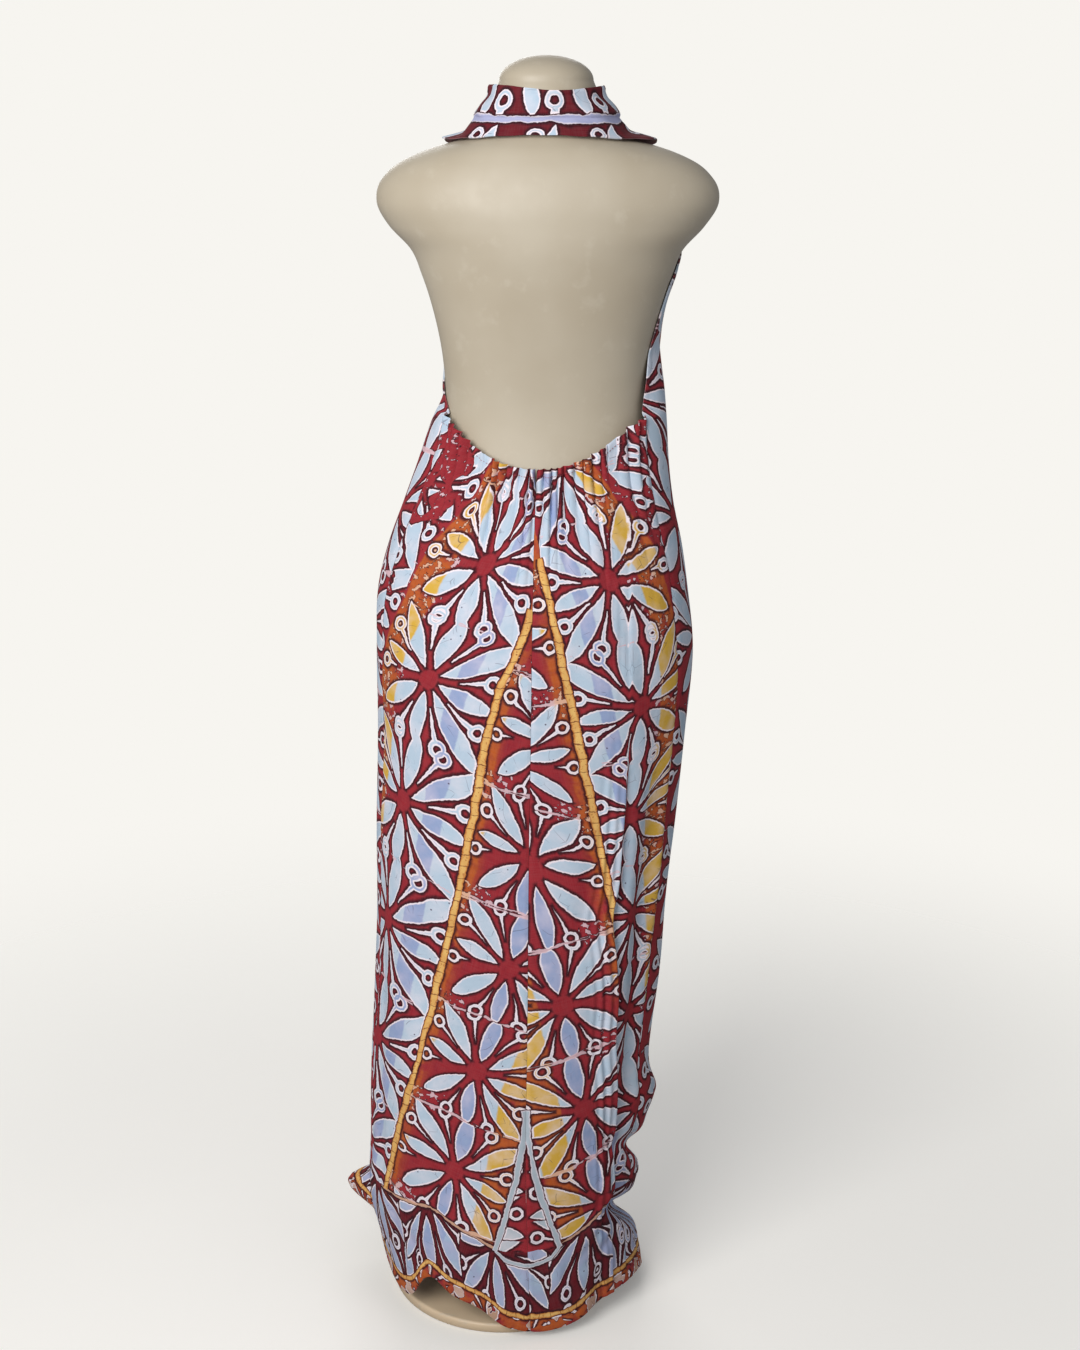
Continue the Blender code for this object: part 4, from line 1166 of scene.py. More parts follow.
def cotton(name, batik, weave, layout):
    """Batik cotton: the dyed print, its weave and the faint relief of its threads."""
    material, work, shader = new_material(name)
    printed = work.read("ShaderNodeUVMap", uv_map="print")
    placed = work.read("ShaderNodeUVMap", uv_map="place")
    above_hem = work.read("ShaderNodeAttribute", "Fac", attribute_name="above_hem")
    inside = work.read("ShaderNodeAttribute", "Fac", attribute_name="inside")
    place = work.join(*work.parts(placed)[:2], above_hem)
    dyed = work.group(batik, Print=printed, Place=place, **layout)
    woven = work.group(weave, Place=printed)
    pale = work.line(woven["Slub"], 0.35, 0.65, 0.0, 0.025)
    colour = work.mix(pale, dyed["Color"], PALE_THREAD)
    rippled = bump(work, work.noise(printed, 55.0, 3.0), 0.0016, 0.50)
    work.fill(shader, {
        "Base Color": work.mix(inside * 0.22, colour, COTTON_INSIDE),
        "Roughness": work.line(woven["Slub"], 0.3, 0.7, 0.74, 0.88) - dyed["Wax"] * 0.04,
        "Normal": bump(work, woven["Height"], 0.00016, 0.40, rippled),
        "Sheen Weight": 0.02,
        "Sheen Roughness": 0.45,
        "Specular IOR Level": 0.10,
    })
    return material


def form_finish():
    """Moulded fibreglass shell of the form: a satin skin with faint ripples and rubbed places."""
    material, work, shader = new_material("moulded shell of the form")
    cloud = work.noise(own_place(work), 9.0, 3.0)
    rubbed = work.noise(own_place(work), 42.0, 4.0, 0.6)
    colour = work.mix(work.line(cloud, 0.35, 0.68, 0.0, 1.0), *FORM_SHELL)
    work.fill(shader, {
        "Base Color": work.mix(work.line(rubbed, 0.58, 0.78, 0.0, 0.35), colour, FORM_RUBBED),
        "Roughness": work.line(rubbed, 0.30, 0.75, 0.42, 0.56),
        "Normal": bump(work, rubbed, 0.00020, 0.25, bump(work, cloud, 0.0020, 0.20)),
        "Coat Weight": 0.07,
        "Coat Roughness": 0.30,
    })
    return material


def base_finish():
    """Enamelled plate, a little dusty and scuffed near its rim."""
    material, work, shader = new_material("enamelled base plate")
    place = own_place(work)
    scuff = work.noise(work.vector("MULTIPLY", place, (30.0, 190.0, 60.0)), 1.0, 3.0)
    mottle = work.line(work.noise(place, 14.0, 3.0), 0.35, 0.70, 0.0, 1.0)
    rim = work.step(from_middle(work, place), BASE_RADIUS - 0.010, BASE_RADIUS - 0.001)
    worn = rim * work.step(scuff, 0.50, 0.66)
    work.fill(shader, {
        "Base Color": work.mix(worn * 0.45, work.mix(mottle, *PLATE_PAINT), PLATE_WORN),
        "Roughness": work.line(scuff, 0.30, 0.72, 0.34, 0.55),
        "Normal": bump(work, scuff, 0.00015, 0.30),
    })
    return material


def metal_finish():
    """Drawn steel of the pole, brushed along its length."""
    material, work, shader = new_material("brushed steel of the pole")
    stretched = work.vector("MULTIPLY", own_place(work), (900.0, 900.0, 9.0))
    brushed = work.noise(stretched, 1.0, 3.0)
    work.fill(shader, {
        "Base Color": work.mix(brushed, *POLE_STEEL),
        "Roughness": work.line(brushed, 0.25, 0.75, 0.24, 0.42),
        "Normal": bump(work, brushed, 0.00008, 0.30),
        "Metallic": 1.0,
    })
    return material


def thread_finish():
    """Sewing thread, twisted and slightly fuzzy."""
    material, work, shader = new_material("sewing thread")
    fuzz = work.noise(own_place(work), 2600.0)
    work.fill(shader, {
        "Base Color": work.mix(fuzz, *SEWING_THREAD),
        "Roughness": work.line(fuzz, 0.3, 0.7, 0.62, 0.82),
        "Normal": bump(work, fuzz, 0.00008, 0.5),
    })
    return material


# Pieces

# Rows and columns of each grid
BACK_ROWS = 281
BACK_COLUMNS = 151
FRONT_COLUMNS = 177
FRONT_TOP_ROWS = 96
FRONT_SKIRT_ROWS = 168
COLLAR_ROWS = 37
COLLAR_COLUMNS_ROUND = 221
FORM_COLUMNS_ROUND = 144
FORM_FINE_ROWS = 168
PLATE_COLUMNS_ROUND = 128
POLE_COLUMNS_ROUND = 64

# The row that the print's levels start from, the low back's taken in cloth, and the free edges
REFERENCE_HEIGHT = 0.970
GATHER_DRAW = 0.085
ARMHOLE_PULL = 0.0070
ARMHOLE_PULLED = 0.024
ARMHOLE_CLEARANCE = 0.0034
CAP_START = 1.513
COLLAR_REACH = 179.85
COLLAR_SHELL = 0.0016
COLLAR_CREASE_ROW = 4.0

# The drawn line on each side: its lean in degrees, and the run and the level that it starts at
LINE_LEAN = {1.0: (14.8, -0.003, 0.939), -1.0: (12.5, 0.009, 0.998)}

# How the hanging cloth bends the print: the drawn line's place, and how far the columns of
# stamps on its outer and inner sides are drawn aside or lifted
BEND_REACH = 0.085
PRINT_BEND_COLUMNS = ("along", "line", "outer", "inner", "lift", "inner_lift")
PRINT_BENDS = {
    1.0: (
        (-0.9, 0.03, 0.004, -0.016, -0.018, 0.0), (-0.8, 0.027, 0.004, -0.016, -0.018, 0.0),
        (-0.7, 0.0185, 0.006, -0.015, -0.018, 0.0), (-0.58, 0.003, 0.01, 0.004, -0.016, 0.0),
        (-0.47, 0.0, 0.019, -0.002, -0.009, 0.0), (-0.36, 0.0005, 0.02, 0.001, -0.006, 0.0),
        (-0.23, 0.0085, 0.014, 0.008, -0.004, 0.0), (-0.15, 0.0155, 0.008, 0.008, -0.004, 0.0),
        (-0.09, 0.013, 0.002, 0.006, -0.007, 0.0), (-0.05, 0.006, -0.004, 0.004, -0.01, 0.0),
        (0.03, 0.006, -0.012, 0.0, -0.016, 0.0), (0.15, 0.006, -0.012, 0.0, -0.016, 0.0),
    ),
    -1.0: (
        (-0.9, 0.0, -0.004, 0.0, -0.006, 0.0), (-0.6, 0.0, -0.004, 0.0, -0.006, 0.0),
        (-0.46, 0.0, -0.004, 0.0, -0.005, 0.0), (-0.33, 0.0, -0.004, 0.0, -0.013, 0.034),
        (-0.2, 0.0, -0.004, 0.0, -0.018, 0.008), (-0.05, 0.0, -0.005, 0.0, 0.0, 0.0),
        (0.15, 0.0, -0.005, 0.0, 0.0, 0.0),
    ),
}

# The right panel's long fold: where it runs from the seam, its depth, and the cloth it takes in
LONG_FOLD_COLUMNS = ("height", "run", "depth", "taken")
LONG_FOLD = (
    (0.0, 0.126, 0.3, 0.09), (0.17, 0.126, 0.7, 0.09), (0.224, 0.126, 1.0, 0.087),
    (0.283, 0.125, 1.0, 0.084), (0.34, 0.121, 1.0, 0.08), (0.4, 0.114, 1.0, 0.076),
    (0.454, 0.115, 1.0, 0.07), (0.506, 0.11, 1.0, 0.06), (0.566, 0.104, 1.0, 0.051),
    (0.598, 0.11, 1.0, 0.048), (0.649, 0.113, 0.9, 0.043), (0.711, 0.116, 0.5, 0.03),
    (0.759, 0.118, 0.15, 0.012), (0.8, 0.118, 0.0, 0.0), (1.1, 0.118, 0.0, 0.0),
)
LIP_RISE = 0.0030
LIP_WIDTH = 0.021
PLEAT_DEPTH = 0.0017
PLEAT_PITCH = 0.0115
PLEATS_BEFORE = 0.017
PLEATS_WIDTH = 0.014
TROUGH_DEPTH = 0.0062
TROUGH_BEYOND = 0.004
TROUGH_WIDTH = 0.013

# Stitches of the hem and of the low back's edge
HEM_STITCHES_UNDER = 0.0015
LOW_BACK_STITCHES_ABOVE = 0.002
STITCH_LENGTH = 0.0026
STITCH_PITCH = 0.0040
STITCH_RADIUS = 0.00030
STITCH_POINTS = 6


def print_place(run, level, lean, run_start, level_start):
    """Place in the print: the run along the row and the level, turned by the drawn line's lean."""
    turn = math.radians(lean)
    beside = run - run_start
    above = level - level_start
    return (
        beside * math.cos(turn) + above * math.sin(turn),
        above * math.cos(turn) - beside * math.sin(turn),
    )


def bent_print(across, along, side):
    """The print's place with the bends of one side's table, which grow away from the line."""
    bend = {
        name: smooth_column(PRINT_BENDS[side], PRINT_BEND_COLUMNS, name, along)
        for name in PRINT_BEND_COLUMNS[1:]
    }
    across = across - bend["line"]
    outer = ease(0.0, BEND_REACH, across)
    inner = ease(0.0, BEND_REACH, -across)
    drawn = bend["outer"] * outer + bend["inner"] * inner
    lifted = bend["lift"] * outer + bend["inner_lift"] * inner
    return across - drawn, along - lifted


def long_fold(run, height):
    """The long fold: a proud lip, a steep step down and a trough behind it that rises again.

    Gives the relief and how far the fold has taken in the cloth beyond it.
    """
    past = run - smooth_column(LONG_FOLD, LONG_FOLD_COLUMNS, "run", height)
    depth = smooth_column(LONG_FOLD, LONG_FOLD_COLUMNS, "depth", height)
    beyond = ease(-0.001, 0.004, past)
    lip = LIP_RISE * bell(np.minimum(past, 0.0), LIP_WIDTH)
    pleats = PLEAT_DEPTH * np.cos(2.0 * math.pi * past / PLEAT_PITCH)
    pleats = pleats * bell(past + PLEATS_BEFORE, PLEATS_WIDTH)
    trough = -TROUGH_DEPTH * bell(past - TROUGH_BEYOND, TROUGH_WIDTH)
    relief = depth * ((lip + pleats) * (1.0 - beyond) + trough * beyond)
    return relief, smooth_column(LONG_FOLD, LONG_FOLD_COLUMNS, "taken", height) * beyond


def levels_down(points):
    """Distance down each column as a height that equals the real one at the reference row.

    It goes on down the cloth's own surface where its length piles up. The second result is the
    distance up from the hem, and the third the reference row's number.
    """
    down = smooth_across(path_along(points, 0), 6)
    middle = points[:, points.shape[1] // 2, 2]
    row = int(np.argmin(np.abs(middle - REFERENCE_HEIGHT)))
    level = smooth_across(points[row][None, :, 2], 6) - (down - down[row])
    return level, down[-1] - down, row


def finish_piece(piece, material, slot, *nodes):
    """Gives a piece its material and puts it in its nodes' place. The slot is not used."""
    piece.data.materials.append(material)
    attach(piece, "root")
    if nodes:
        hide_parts(*nodes)


def back_panel(side, name):
    """One back panel: seam to seam across and the low back's edge to the hem down.

    Gives the piece, its outer face's points and their distances above the hem.
    """
    share = skirt_steps(BACK_ROWS)[:, None]
    spread = np.linspace(0.0, 1.0, BACK_COLUMNS)[None, :]
    if side < 0.0:
        spread = spread[:, ::-1]
    seam_at_hem = CENTRE_SEAM[0][1]
    top = low_back_height(side * SIDE_SEAM * spread)
    hem = hem_height(seam_at_hem + (side * SIDE_SEAM - seam_at_hem) * spread)
    height = top + (hem - top) * share
    seam = smooth_column(CENTRE_SEAM, CENTRE_SEAM_COLUMNS, "angle", height)
    centre = seat_angle(seam, height, side)
    outer = seat_angle(side * SIDE_SEAM, height, -side)
    angle = centre + (outer - centre) * spread
    plain = dress_points(angle, height)
    run = path_along(plain, 1)
    if side < 0.0:
        run = run[:, -1:] - run
    level, above_hem, row = levels_down(plain)
    girth = run.max(axis=1, keepdims=True)
    run_to_side = girth - run
    squeeze = 1.0 + (girth[row] / girth - 1.0) * ease(0.93, 1.05, height)
    run_printed = run * squeeze
    below_edge = top - height
    relief = edge_relief(above_hem, HEM_FOLD) + edge_relief(below_edge, ELASTIC_EDGE)
    relief = relief + seam_relief(run, height) + seam_relief(run_to_side, height + 0.004)
    number = pucker_number(angle)
    valley = np.round(number)
    in_fold = valley - 0.5 + ease(-0.20, 0.20, number - valley)
    folded_run = run + (in_fold - number) * girth / PUCKERS_A_SIDE
    drawn_in = GATHER_DRAW * np.tanh(folded_run / GATHER_DRAW)
    drawn_in = drawn_in * np.exp(-((below_edge / GATHER_REACH) ** 1.3))
    across, along = print_place(run_printed + drawn_in, level, *LINE_LEAN[side])
    across, along = bent_print(across, along, side)
    if side < 0.0:
        folded, taken = long_fold(run, height)
        relief = relief + folded
        across = across + taken
    points = outward(hung_points(angle, height), relief)
    thickness = SHELL + TURNED_SHELL * within(HEM_FOLD, above_hem)
    maps = {"print": (across, along), "place": (run_printed, height)}
    return wall_mesh(name, points, thickness, maps, above_hem), points, above_hem


def front_panel(name):
    """The front, from the halter's top over the bust to the hem, cut in one."""
    rows = FRONT_SHOULDER_ROWS + FRONT_BUST_ROWS + FRONT_WAIST_ROWS + (SIDE_SEAM_TOP,)
    at = np.linspace(0.0, len(rows) - 1.0, FRONT_TOP_ROWS)
    upper = np.interp(at, np.arange(len(rows)), rows)[:, None]
    spread = np.linspace(0.0, 1.0, FRONT_COLUMNS)[None, :]
    left = smooth_column(ARMHOLE, ARMHOLE_COLUMNS, "left", upper)
    right = 360.0 - smooth_column(ARMHOLE, ARMHOLE_COLUMNS, "right", upper)
    upper_angle = left + (right - left) * spread
    toward_front = np.maximum(-np.cos(np.radians(upper_angle)), 0.0)
    upper_height = upper - HALTER_DIP * ease(HALTER_DIP_START, HALTER_TOP, upper) * toward_front
    share = skirt_steps(FRONT_SKIRT_ROWS)[1:, None]
    around = SIDE_SEAM + (360.0 - 2.0 * SIDE_SEAM) * spread
    skirt_height = SIDE_SEAM_TOP + (hem_height(around) - SIDE_SEAM_TOP) * share
    skirt_angle = front_angles(skirt_height, spread)
    angle = np.concatenate([upper_angle, skirt_angle])
    height = np.concatenate([upper_height, skirt_height])
    plain = dress_points(angle, height)
    run = path_along(plain, 1)
    girth = run[:, -1:]
    level, above_hem = levels_down(plain)[:2]
    from_edge = np.minimum(run, girth - run)
    in_skirt = ease(SIDE_SEAM_TOP + 0.002, SIDE_SEAM_TOP - 0.004, height)
    relief = edge_relief(above_hem, HEM_FOLD) + seam_relief(from_edge, height) * in_skirt
    relief = relief + edge_relief(from_edge, ROLLED_EDGE) * (1.0 - in_skirt)
    pull = ARMHOLE_PULL * bell(from_edge, ARMHOLE_PULLED) * (1.0 - in_skirt)
    room = form_radius(angle, height) + ARMHOLE_CLEARANCE - dress_radius(angle, height)
    relief = relief + np.maximum(-pull, np.minimum(room, 0.0))
    points = outward(hung_points(angle, height), relief)
    across, along = print_place(run - 0.5 * girth, level, 0.0, 0.0, 0.93)
    rolled = within(ROLLED_EDGE, from_edge) * (1.0 - in_skirt)
    thickness = SHELL + TURNED_SHELL * np.maximum(within(HEM_FOLD, above_hem), rolled)
    maps = {"print": (across, along), "place": (run + 0.30, height)}
    return wall_mesh(name, points, thickness, maps, above_hem), points, above_hem


def collar_row(name, at):
    """A smooth line through one named column of the collar's rows, by the row's number."""
    table = tuple((float(number), *row) for number, row in enumerate(COLLAR))
    return smooth_column(table, ("row",) + COLLAR_ROW_COLUMNS, name, at)


def collar_band(name):
    """The folded collar: it stands at the neck, creases, and spreads over the shoulders."""
    at = np.linspace(0.0, len(COLLAR) - 1.0, COLLAR_ROWS)[:, None]
    turn = np.linspace(-COLLAR_REACH, COLLAR_REACH, COLLAR_COLUMNS_ROUND)[None, :]
    cosine = np.cos(np.radians(turn))
    behind = np.maximum(cosine, 0.0) ** 2
    before = np.maximum(-cosine, 0.0) ** 2
    beside = 1.0 - behind - before
    height = (
        collar_row("back_height", at) * behind
        + collar_row("front_height", at) * before
        + collar_row("side_height", at) * beside
    )
    top_edge = ease(3.0, 0.0, at)
    dip = 0.0030 * bell(turn + 14.0, 34.0)
    height = height + (0.0022 * np.sin(np.radians(turn)) * behind**0.25 - dip) * top_edge
    side = collar_row("side", at)
    radius = section_radius(turn, side, side, collar_row("front", at), collar_row("back", at))
    radius = collar_radius(turn, height, radius)
    points = to_points(turn, height, radius)
    down = path_along(points, 0)
    crease_row = int(np.argmin(np.abs(at[:, 0] - COLLAR_CREASE_ROW)))
    around = path_along(points, 1)[crease_row]
    around = around - 0.5 * around[-1]
    dents = 0.0007 * np.sin(np.radians(7.0 * turn + 60.0)) * np.sin(math.pi * at / 6.0)
    dents = dents + 0.0005 * np.sin(np.radians(13.0 * turn) + 2.0 * at)
    edge = edge_relief(down[-1:] - down, 0.006) + edge_relief(down, 0.005)
    points = outward(points, dents + edge)
    across = COLLAR_CREASE + (down - down[crease_row])
    far_off = np.ones_like(across)
    maps = {"print": (across, around + 0.0 * down), "place": (far_off, height)}
    return wall_mesh(name, points, COLLAR_SHELL, maps, far_off)


def ring_walls(number):
    """Faces between the rings of a stack, from its points' numbers."""
    after = np.roll(number, -1, axis=1)
    return np.stack([number[:-1], after[:-1], after[1:], number[1:]], axis=-1).reshape(-1, 4)


def stack_mesh(name, rings):
    """A closed solid through a stack of rings, its two ends fanned to their middles."""
    count = rings.shape[1]
    points = np.concatenate([rings.reshape(-1, 3), rings[[0, -1]].mean(axis=1)])
    first = len(points) - 2
    number = np.arange(first).reshape(-1, count)
    after = np.roll(number, -1, axis=1)
    low = np.stack([np.full(count, first), after[0], number[0]], axis=-1)
    high = np.stack([np.full(count, first + 1), number[-1], after[-1]], axis=-1)
    faces = []
    for part in (ring_walls(number), low, high):
        faces += part[:, ::-1].tolist()
    mesh = bpy.data.meshes.new(name)
    mesh.from_pydata(points.tolist(), [], faces)
    mesh.shade_smooth()
    mesh.set_sharp_from_angle(angle=math.radians(48.0))
    return in_scene(name, mesh)


def smooth_form(name):
    """The form's skin, from its flat underside and rounded rim to the cap of its neck."""
    turn = np.linspace(0.0, 360.0, FORM_COLUMNS_ROUND, endpoint=False)[None, :]
    rim = np.linspace(90.0, 0.0, 9)[:, None]
    draw = FORM_RIM * (1.0 - np.cos(np.radians(rim)))
    rise = FORM_RIM * (1.0 - np.sin(np.radians(rim)))
    rim_height = FORM_UNDERSIDE + rise + 0.0 * turn
    rows = FORM_TRUNK_ROWS + FORM_SHOULDER_ROWS + FORM_NECK_ROWS[:-1] + (CAP_START,)
    at = np.linspace(0.0, len(rows) - 1.0, FORM_FINE_ROWS)[1:]
    level = np.interp(at, np.arange(len(rows)), rows)[:, None] + 0.0 * turn
    cap = np.linspace(0.0, 88.0, 24)[1:, None]
    last = form_radius(turn, level[-1:])
    cap_height = CAP_START + (NECK_TOP - CAP_START) * np.sin(np.radians(cap)) + 0.0 * turn
    return stack_mesh(name, np.concatenate([
        to_points(turn, rim_height, form_radius(turn, rim_height) - draw),
        to_points(turn, level, form_radius(turn, level)),
        to_points(turn, cap_height, last * np.cos(np.radians(cap))),
    ]))


def turned_stack(name, centre_x, profile, columns):
    """A turned solid from its profile of radius and height."""
    turn = np.linspace(0.0, 2.0 * math.pi, columns, endpoint=False)[None, :]
    radius, height = np.array(profile).T[..., None]
    around = [centre_x + radius * np.sin(turn), radius * np.cos(turn), height + 0.0 * turn]
    return stack_mesh(name, np.stack(around, axis=-1))


def base_profile():
    """The plate's profile: a small foot edge, an upright rim and a quarter round on top."""
    low = BASE_THICKNESS - BASE_EDGE
    rounded = [
        (BASE_RADIUS - BASE_EDGE + BASE_EDGE * math.cos(part), low + BASE_EDGE * math.sin(part))
        for part in np.radians(np.linspace(0.0, 90.0, 9))
    ]
    foot = [(BASE_RADIUS - BASE_FOOT_EDGE, 0.0), (BASE_RADIUS, BASE_FOOT_EDGE)]
    return foot + rounded + [(share * BASE_RADIUS, BASE_THICKNESS) for share in (0.7, 0.3)]


def even_along(path, normals, pitch):
    """Places, normals and directions at an even pitch along a path of points."""
    run = path_along(path, 0)
    at = np.arange(0.5 * pitch, run[-1], pitch)

    def along(values, moved=0.0):
        """Three numbers at each place, moved along by a distance."""
        return np.stack([np.interp(at + moved, run, column) for column in values.T], axis=-1)

    square = along(normals)
    forward = along(path, 0.001) - along(path, -0.001)
    for way in (square, forward):
        way /= np.linalg.norm(way, axis=-1, keepdims=True)
    return along(path), square, forward


def stitches(name, paths):
    """Rows of stitches: each a short thread that dips into the cloth at its two ends.

    Every stitch is the same ring of six points carried along a shallow arch.
    """
    share = np.linspace(-1.0, 1.0, STITCH_POINTS)
    thick = STITCH_RADIUS * np.sqrt(np.maximum(1.0 - 0.92 * share**4, 0.05))[:, None]
    ahead = (0.5 * STITCH_LENGTH * share)[None, :, None]
    lift = (0.00034 - 0.00052 * share**2)[None, :, None]
    ring = np.radians(np.arange(STITCH_POINTS) * 360.0 / STITCH_POINTS)
    points = []
    for path, normals in paths:
        places, square, forward = even_along(path, normals, STITCH_PITCH)
        sideways = np.cross(square, forward)
        middle = places[:, None] + forward[:, None] * ahead + square[:, None] * lift
        body = (
            middle[:, :, None]
            + sideways[:, None, None] * (thick * np.cos(ring))[None, :, :, None]
            + square[:, None, None] * (thick * np.sin(ring))[None, :, :, None]
        )
        points.append(body.reshape(-1, 3))
    points = np.concatenate(points)
    each = STITCH_POINTS**2
    number = np.arange(each).reshape(STITCH_POINTS, STITCH_POINTS)
    halves = ([0, 1, 2, 3], [0, 3, 4, 5])
    ends = [end[half] for end in (number[0, ::-1], number[-1]) for half in halves]
    one = np.concatenate([ring_walls(number), ends])
    faces = (one[None] + np.arange(0, len(points), each)[:, None, None]).reshape(-1, 4)
    mesh = bpy.data.meshes.new(name)
    mesh.from_pydata(points.tolist(), [], faces.tolist())
    mesh.shade_smooth()
    return in_scene(name, mesh)


def line_at(points, distance, wanted):
    """The path over a grid where a distance, which grows along each column, has a wanted value."""
    row = np.argmin(np.abs(distance - wanted), axis=0)
    column = np.arange(points.shape[1])
    return points[row, column], grid_normals(points)[row, column]


# Camera and light

CAMERA_PLACE = (-0.28676, 2.28253, 1.5)
CAMERA_PITCH = 16.423
CAMERA_TURN = 186.0
CAMERA_LENS = 52.695
CAMERA_SENSOR = 36.0
ROOM_LIGHT = (0.95, 0.97, 1.0, 1.0)
ROOM_STRENGTH = 0.27
ROOM_SEEN = (0.930, 0.913, 0.871, 1.0)

# The lights, which all face one point: each one's place, width, power and colour
LIGHT_AIM = (-0.03, 0.0, 1.05)
LIGHTS = {
    "broad light": ((0.95, 2.35, 2.15), 1.7, 67.0, (1.0, 0.985, 0.96)),
    "weak light": ((-2.2, 1.7, 2.0), 1.4, 2.5, (0.97, 0.98, 1.0)),
    "front light": ((0.6, -2.6, 1.9), 1.6, 24.0, (1.0, 0.99, 0.97)),
}
FLOOR_REACH = 3.2
FLOOR_CORNERS = 96


def set_camera():
    """The camera at the photograph's angle."""
    camera = bpy.data.cameras.new("camera")
    camera.sensor_fit = "VERTICAL"
    camera.sensor_height = CAMERA_SENSOR
    camera.lens = CAMERA_LENS
    camera.clip_end = 60.0
    seat = in_scene("camera", camera)
    seat.location = CAMERA_PLACE
    seat.rotation_euler = (math.radians(90.0 - CAMERA_PITCH), 0.0, math.radians(CAMERA_TURN))
    bpy.context.scene.camera = seat


def area_light(name, place, size, power, colour):
    """A soft square light that faces the dress."""
    light = bpy.data.lights.new(name, "AREA")
    light.shape = "RECTANGLE"
    light.size = light.size_y = size
    light.energy = power
    light.color = colour
    x, y, z = np.array(LIGHT_AIM) - np.array(place)
    seat = in_scene(name, light)
    seat.location = place
    seat.rotation_euler = (math.atan2(math.hypot(x, y), -z), 0.0, math.atan2(x, -y) + math.pi)


def set_light():
    """A pale room, a broad light and a weak one behind the dress, and one before its front."""
    world = bpy.data.worlds.new("pale room")
    world.use_nodes = True
    tree = world.node_tree
    lit = tree.nodes["Background"]
    lit.inputs["Color"].default_value = ROOM_LIGHT
    lit.inputs["Strength"].default_value = ROOM_STRENGTH
    seen = tree.nodes.new("ShaderNodeBackground")
    seen.inputs["Color"].default_value = ROOM_SEEN
    rays = tree.nodes.new("ShaderNodeLightPath")
    mix = tree.nodes.new("ShaderNodeMixShader")
    tree.links.new(rays.outputs["Is Camera Ray"], mix.inputs[0])
    tree.links.new(lit.outputs[0], mix.inputs[1])
    tree.links.new(seen.outputs[0], mix.inputs[2])
    tree.links.new(mix.outputs[0], tree.nodes["World Output"].inputs["Surface"])
    bpy.context.scene.world = world
    for name, light in LIGHTS.items():
        area_light(name, *light)
    view = bpy.context.scene.view_settings
    view.view_transform = "Standard"
    view.look = "None"
    view.exposure = 0.0
    view.gamma = 1.0


def lay_floor():
    """A plain pale floor that fades into the pale room, and isn't part of the piece."""
    turn = np.linspace(0.0, 2.0 * math.pi, FLOOR_CORNERS, endpoint=False)
    edge = [FLOOR_REACH * np.cos(turn), FLOOR_REACH * np.sin(turn), np.full_like(turn, -0.0005)]
    mesh = bpy.data.meshes.new("floor")
    mesh.from_pydata(np.stack(edge, axis=-1).tolist(), [], [tuple(range(FLOOR_CORNERS))])
    floor = in_scene("floor", mesh)
    material, work, shader = new_material("pale floor")
    place = own_place(work)
    rays = work.read("ShaderNodeLightPath", "Is Camera Ray")
    seen = work.mix(work.noise(place, 3.0), *FLOOR_SEEN)
    work.fill(shader, {
        "Base Color": work.mix(rays, FLOOR_UNSEEN, seen),
        "Alpha": work.step(from_middle(work, place), 1.9, 0.45),
        "Emission Color": work.mix(rays, *FLOOR_GLOW),
        "Emission Strength": 0.16,
        "Roughness": 0.85,
    })
    floor.data.materials.append(material)


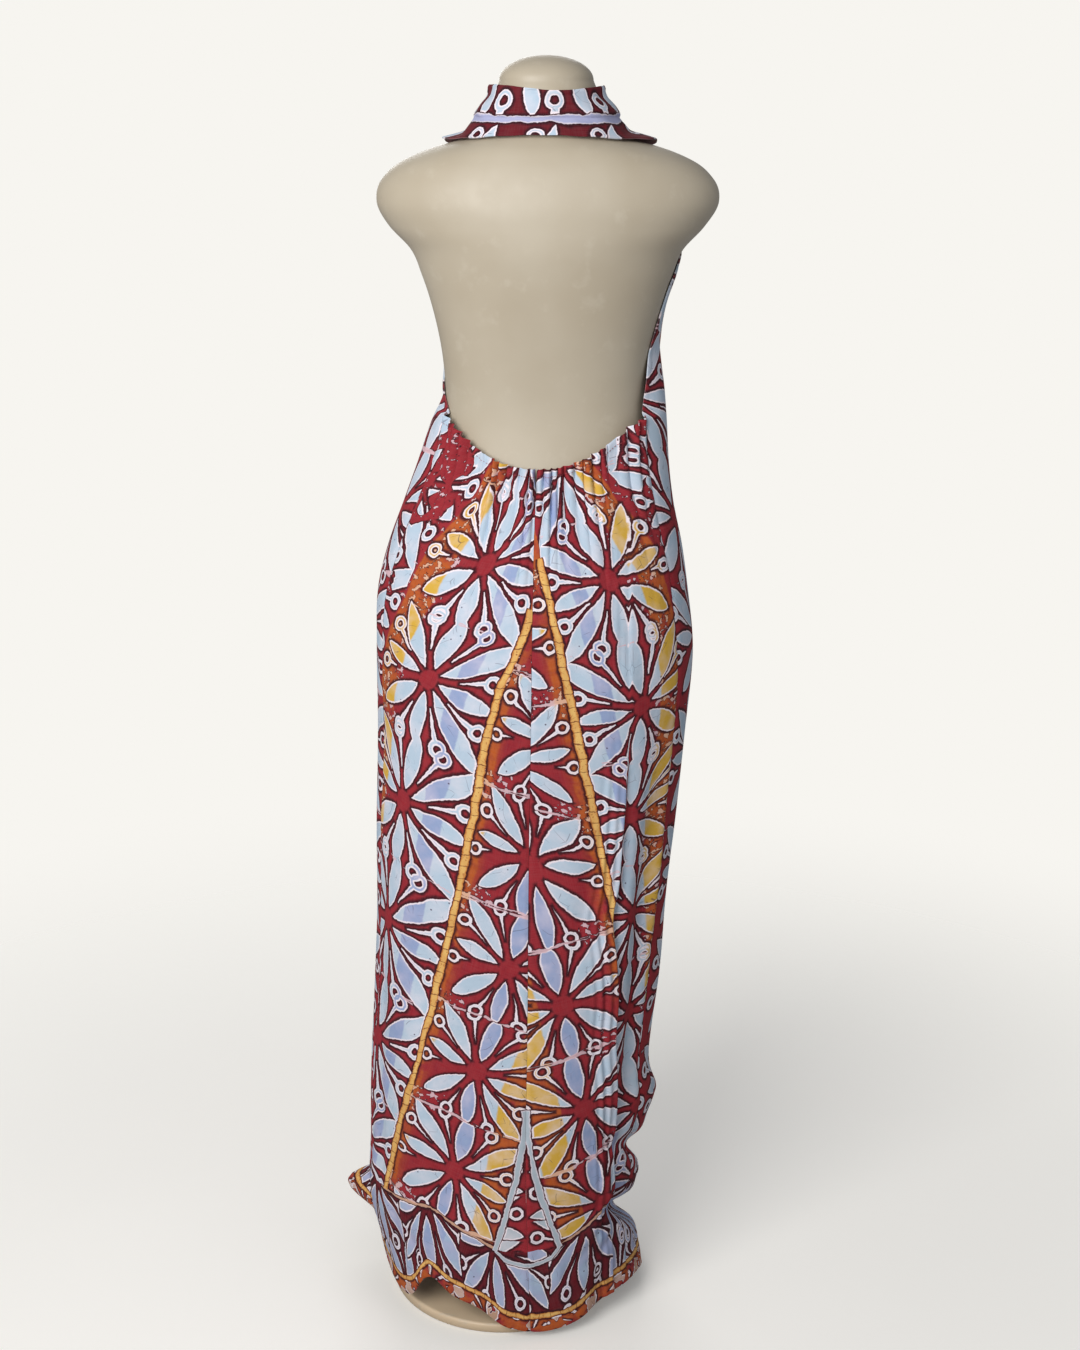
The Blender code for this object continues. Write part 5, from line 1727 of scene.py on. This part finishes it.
# What each cloth sets in its print
PRINTS = {
    "left back": {
        "Inner_start": -0.0025, "Outer_start": 0.045, "Inner_length": 0.142,
        "Outer_length": 0.162, "Band": 0.1475,
    },
    "right back": {
        "Border_first": 0.078, "Inner_start": 0.0534, "Outer_start": -0.047,
        "Inner_length": 0.147, "Outer_length": 0.137, "Band": 0.135, "Lavender": 0.042,
    },
    "front": {"Line": 0.0, "Outer_start": 0.05, "Band": 0.150},
    "collar": {
        "Line": 0.0, "Border": 0.0, "Outer_start": 0.02, "Band": 9.0,
        "Pale_line": COLLAR_CREASE, "Collar": 1.0,
    },
}


def main():
    """Makes every piece over the frame, then the floor, the light and the camera."""
    set_camera()
    petal = shape_group("petal", PETAL_COLUMNS, petal_depth)
    stalk = shape_group("stalk with ring", STALK_COLUMNS, stalk_depth)
    batik = batik_group(flower_group(petal, stalk), petal, stalk)
    weave = weave_group()
    cottons = {
        name: cotton(f"batik cotton, {name}", batik, weave, layout)
        for name, layout in PRINTS.items()
    }
    thread = thread_finish()

    finish_piece(smooth_form("form_skin"), form_finish(), "form_shell", "dress_form")
    plate = turned_stack("round_plate", 0.0, base_profile(), PLATE_COLUMNS_ROUND)
    finish_piece(plate, base_finish(), "base_paint", "base_plate")
    tube = [(POLE_RADIUS, BASE_THICKNESS + SEAT_GAP), (POLE_RADIUS, FORM_UNDERSIDE - SEAT_GAP)]
    pole = turned_stack("steel_pole", POLE_X, tube, POLE_COLUMNS_ROUND)
    finish_piece(pole, metal_finish(), "pole_metal", "pole")

    left, *left_edges = back_panel(1.0, "back_left_cloth")
    right, *right_edges = back_panel(-1.0, "back_right_cloth")
    front, *front_edges = front_panel("front_cloth")
    collar = collar_band("collar_cloth")
    finish_piece(left, cottons["left back"], "batik_cotton", "back_left_panel")
    finish_piece(right, cottons["right back"], "batik_cotton", "back_right_panel")
    finish_piece(front, cottons["front"], "batik_cotton", "front_panel")
    finish_piece(collar, cottons["collar"], "batik_cotton", "neck_collar")

    hem = stitches("hem_stitches", [
        line_at(points[::-1], above_hem[::-1], HEM_FOLD - HEM_STITCHES_UNDER)
        for points, above_hem in (left_edges, right_edges, front_edges)
    ])
    low_back = stitches("low_back_stitches", [
        line_at(points, path_along(points, 0), ELASTIC_EDGE - LOW_BACK_STITCHES_ABOVE)
        for points, above_hem in (left_edges, right_edges)
    ])
    for piece in (hem, low_back):
        finish_piece(piece, thread, "batik_cotton")

    lay_floor()
    set_light()


main()
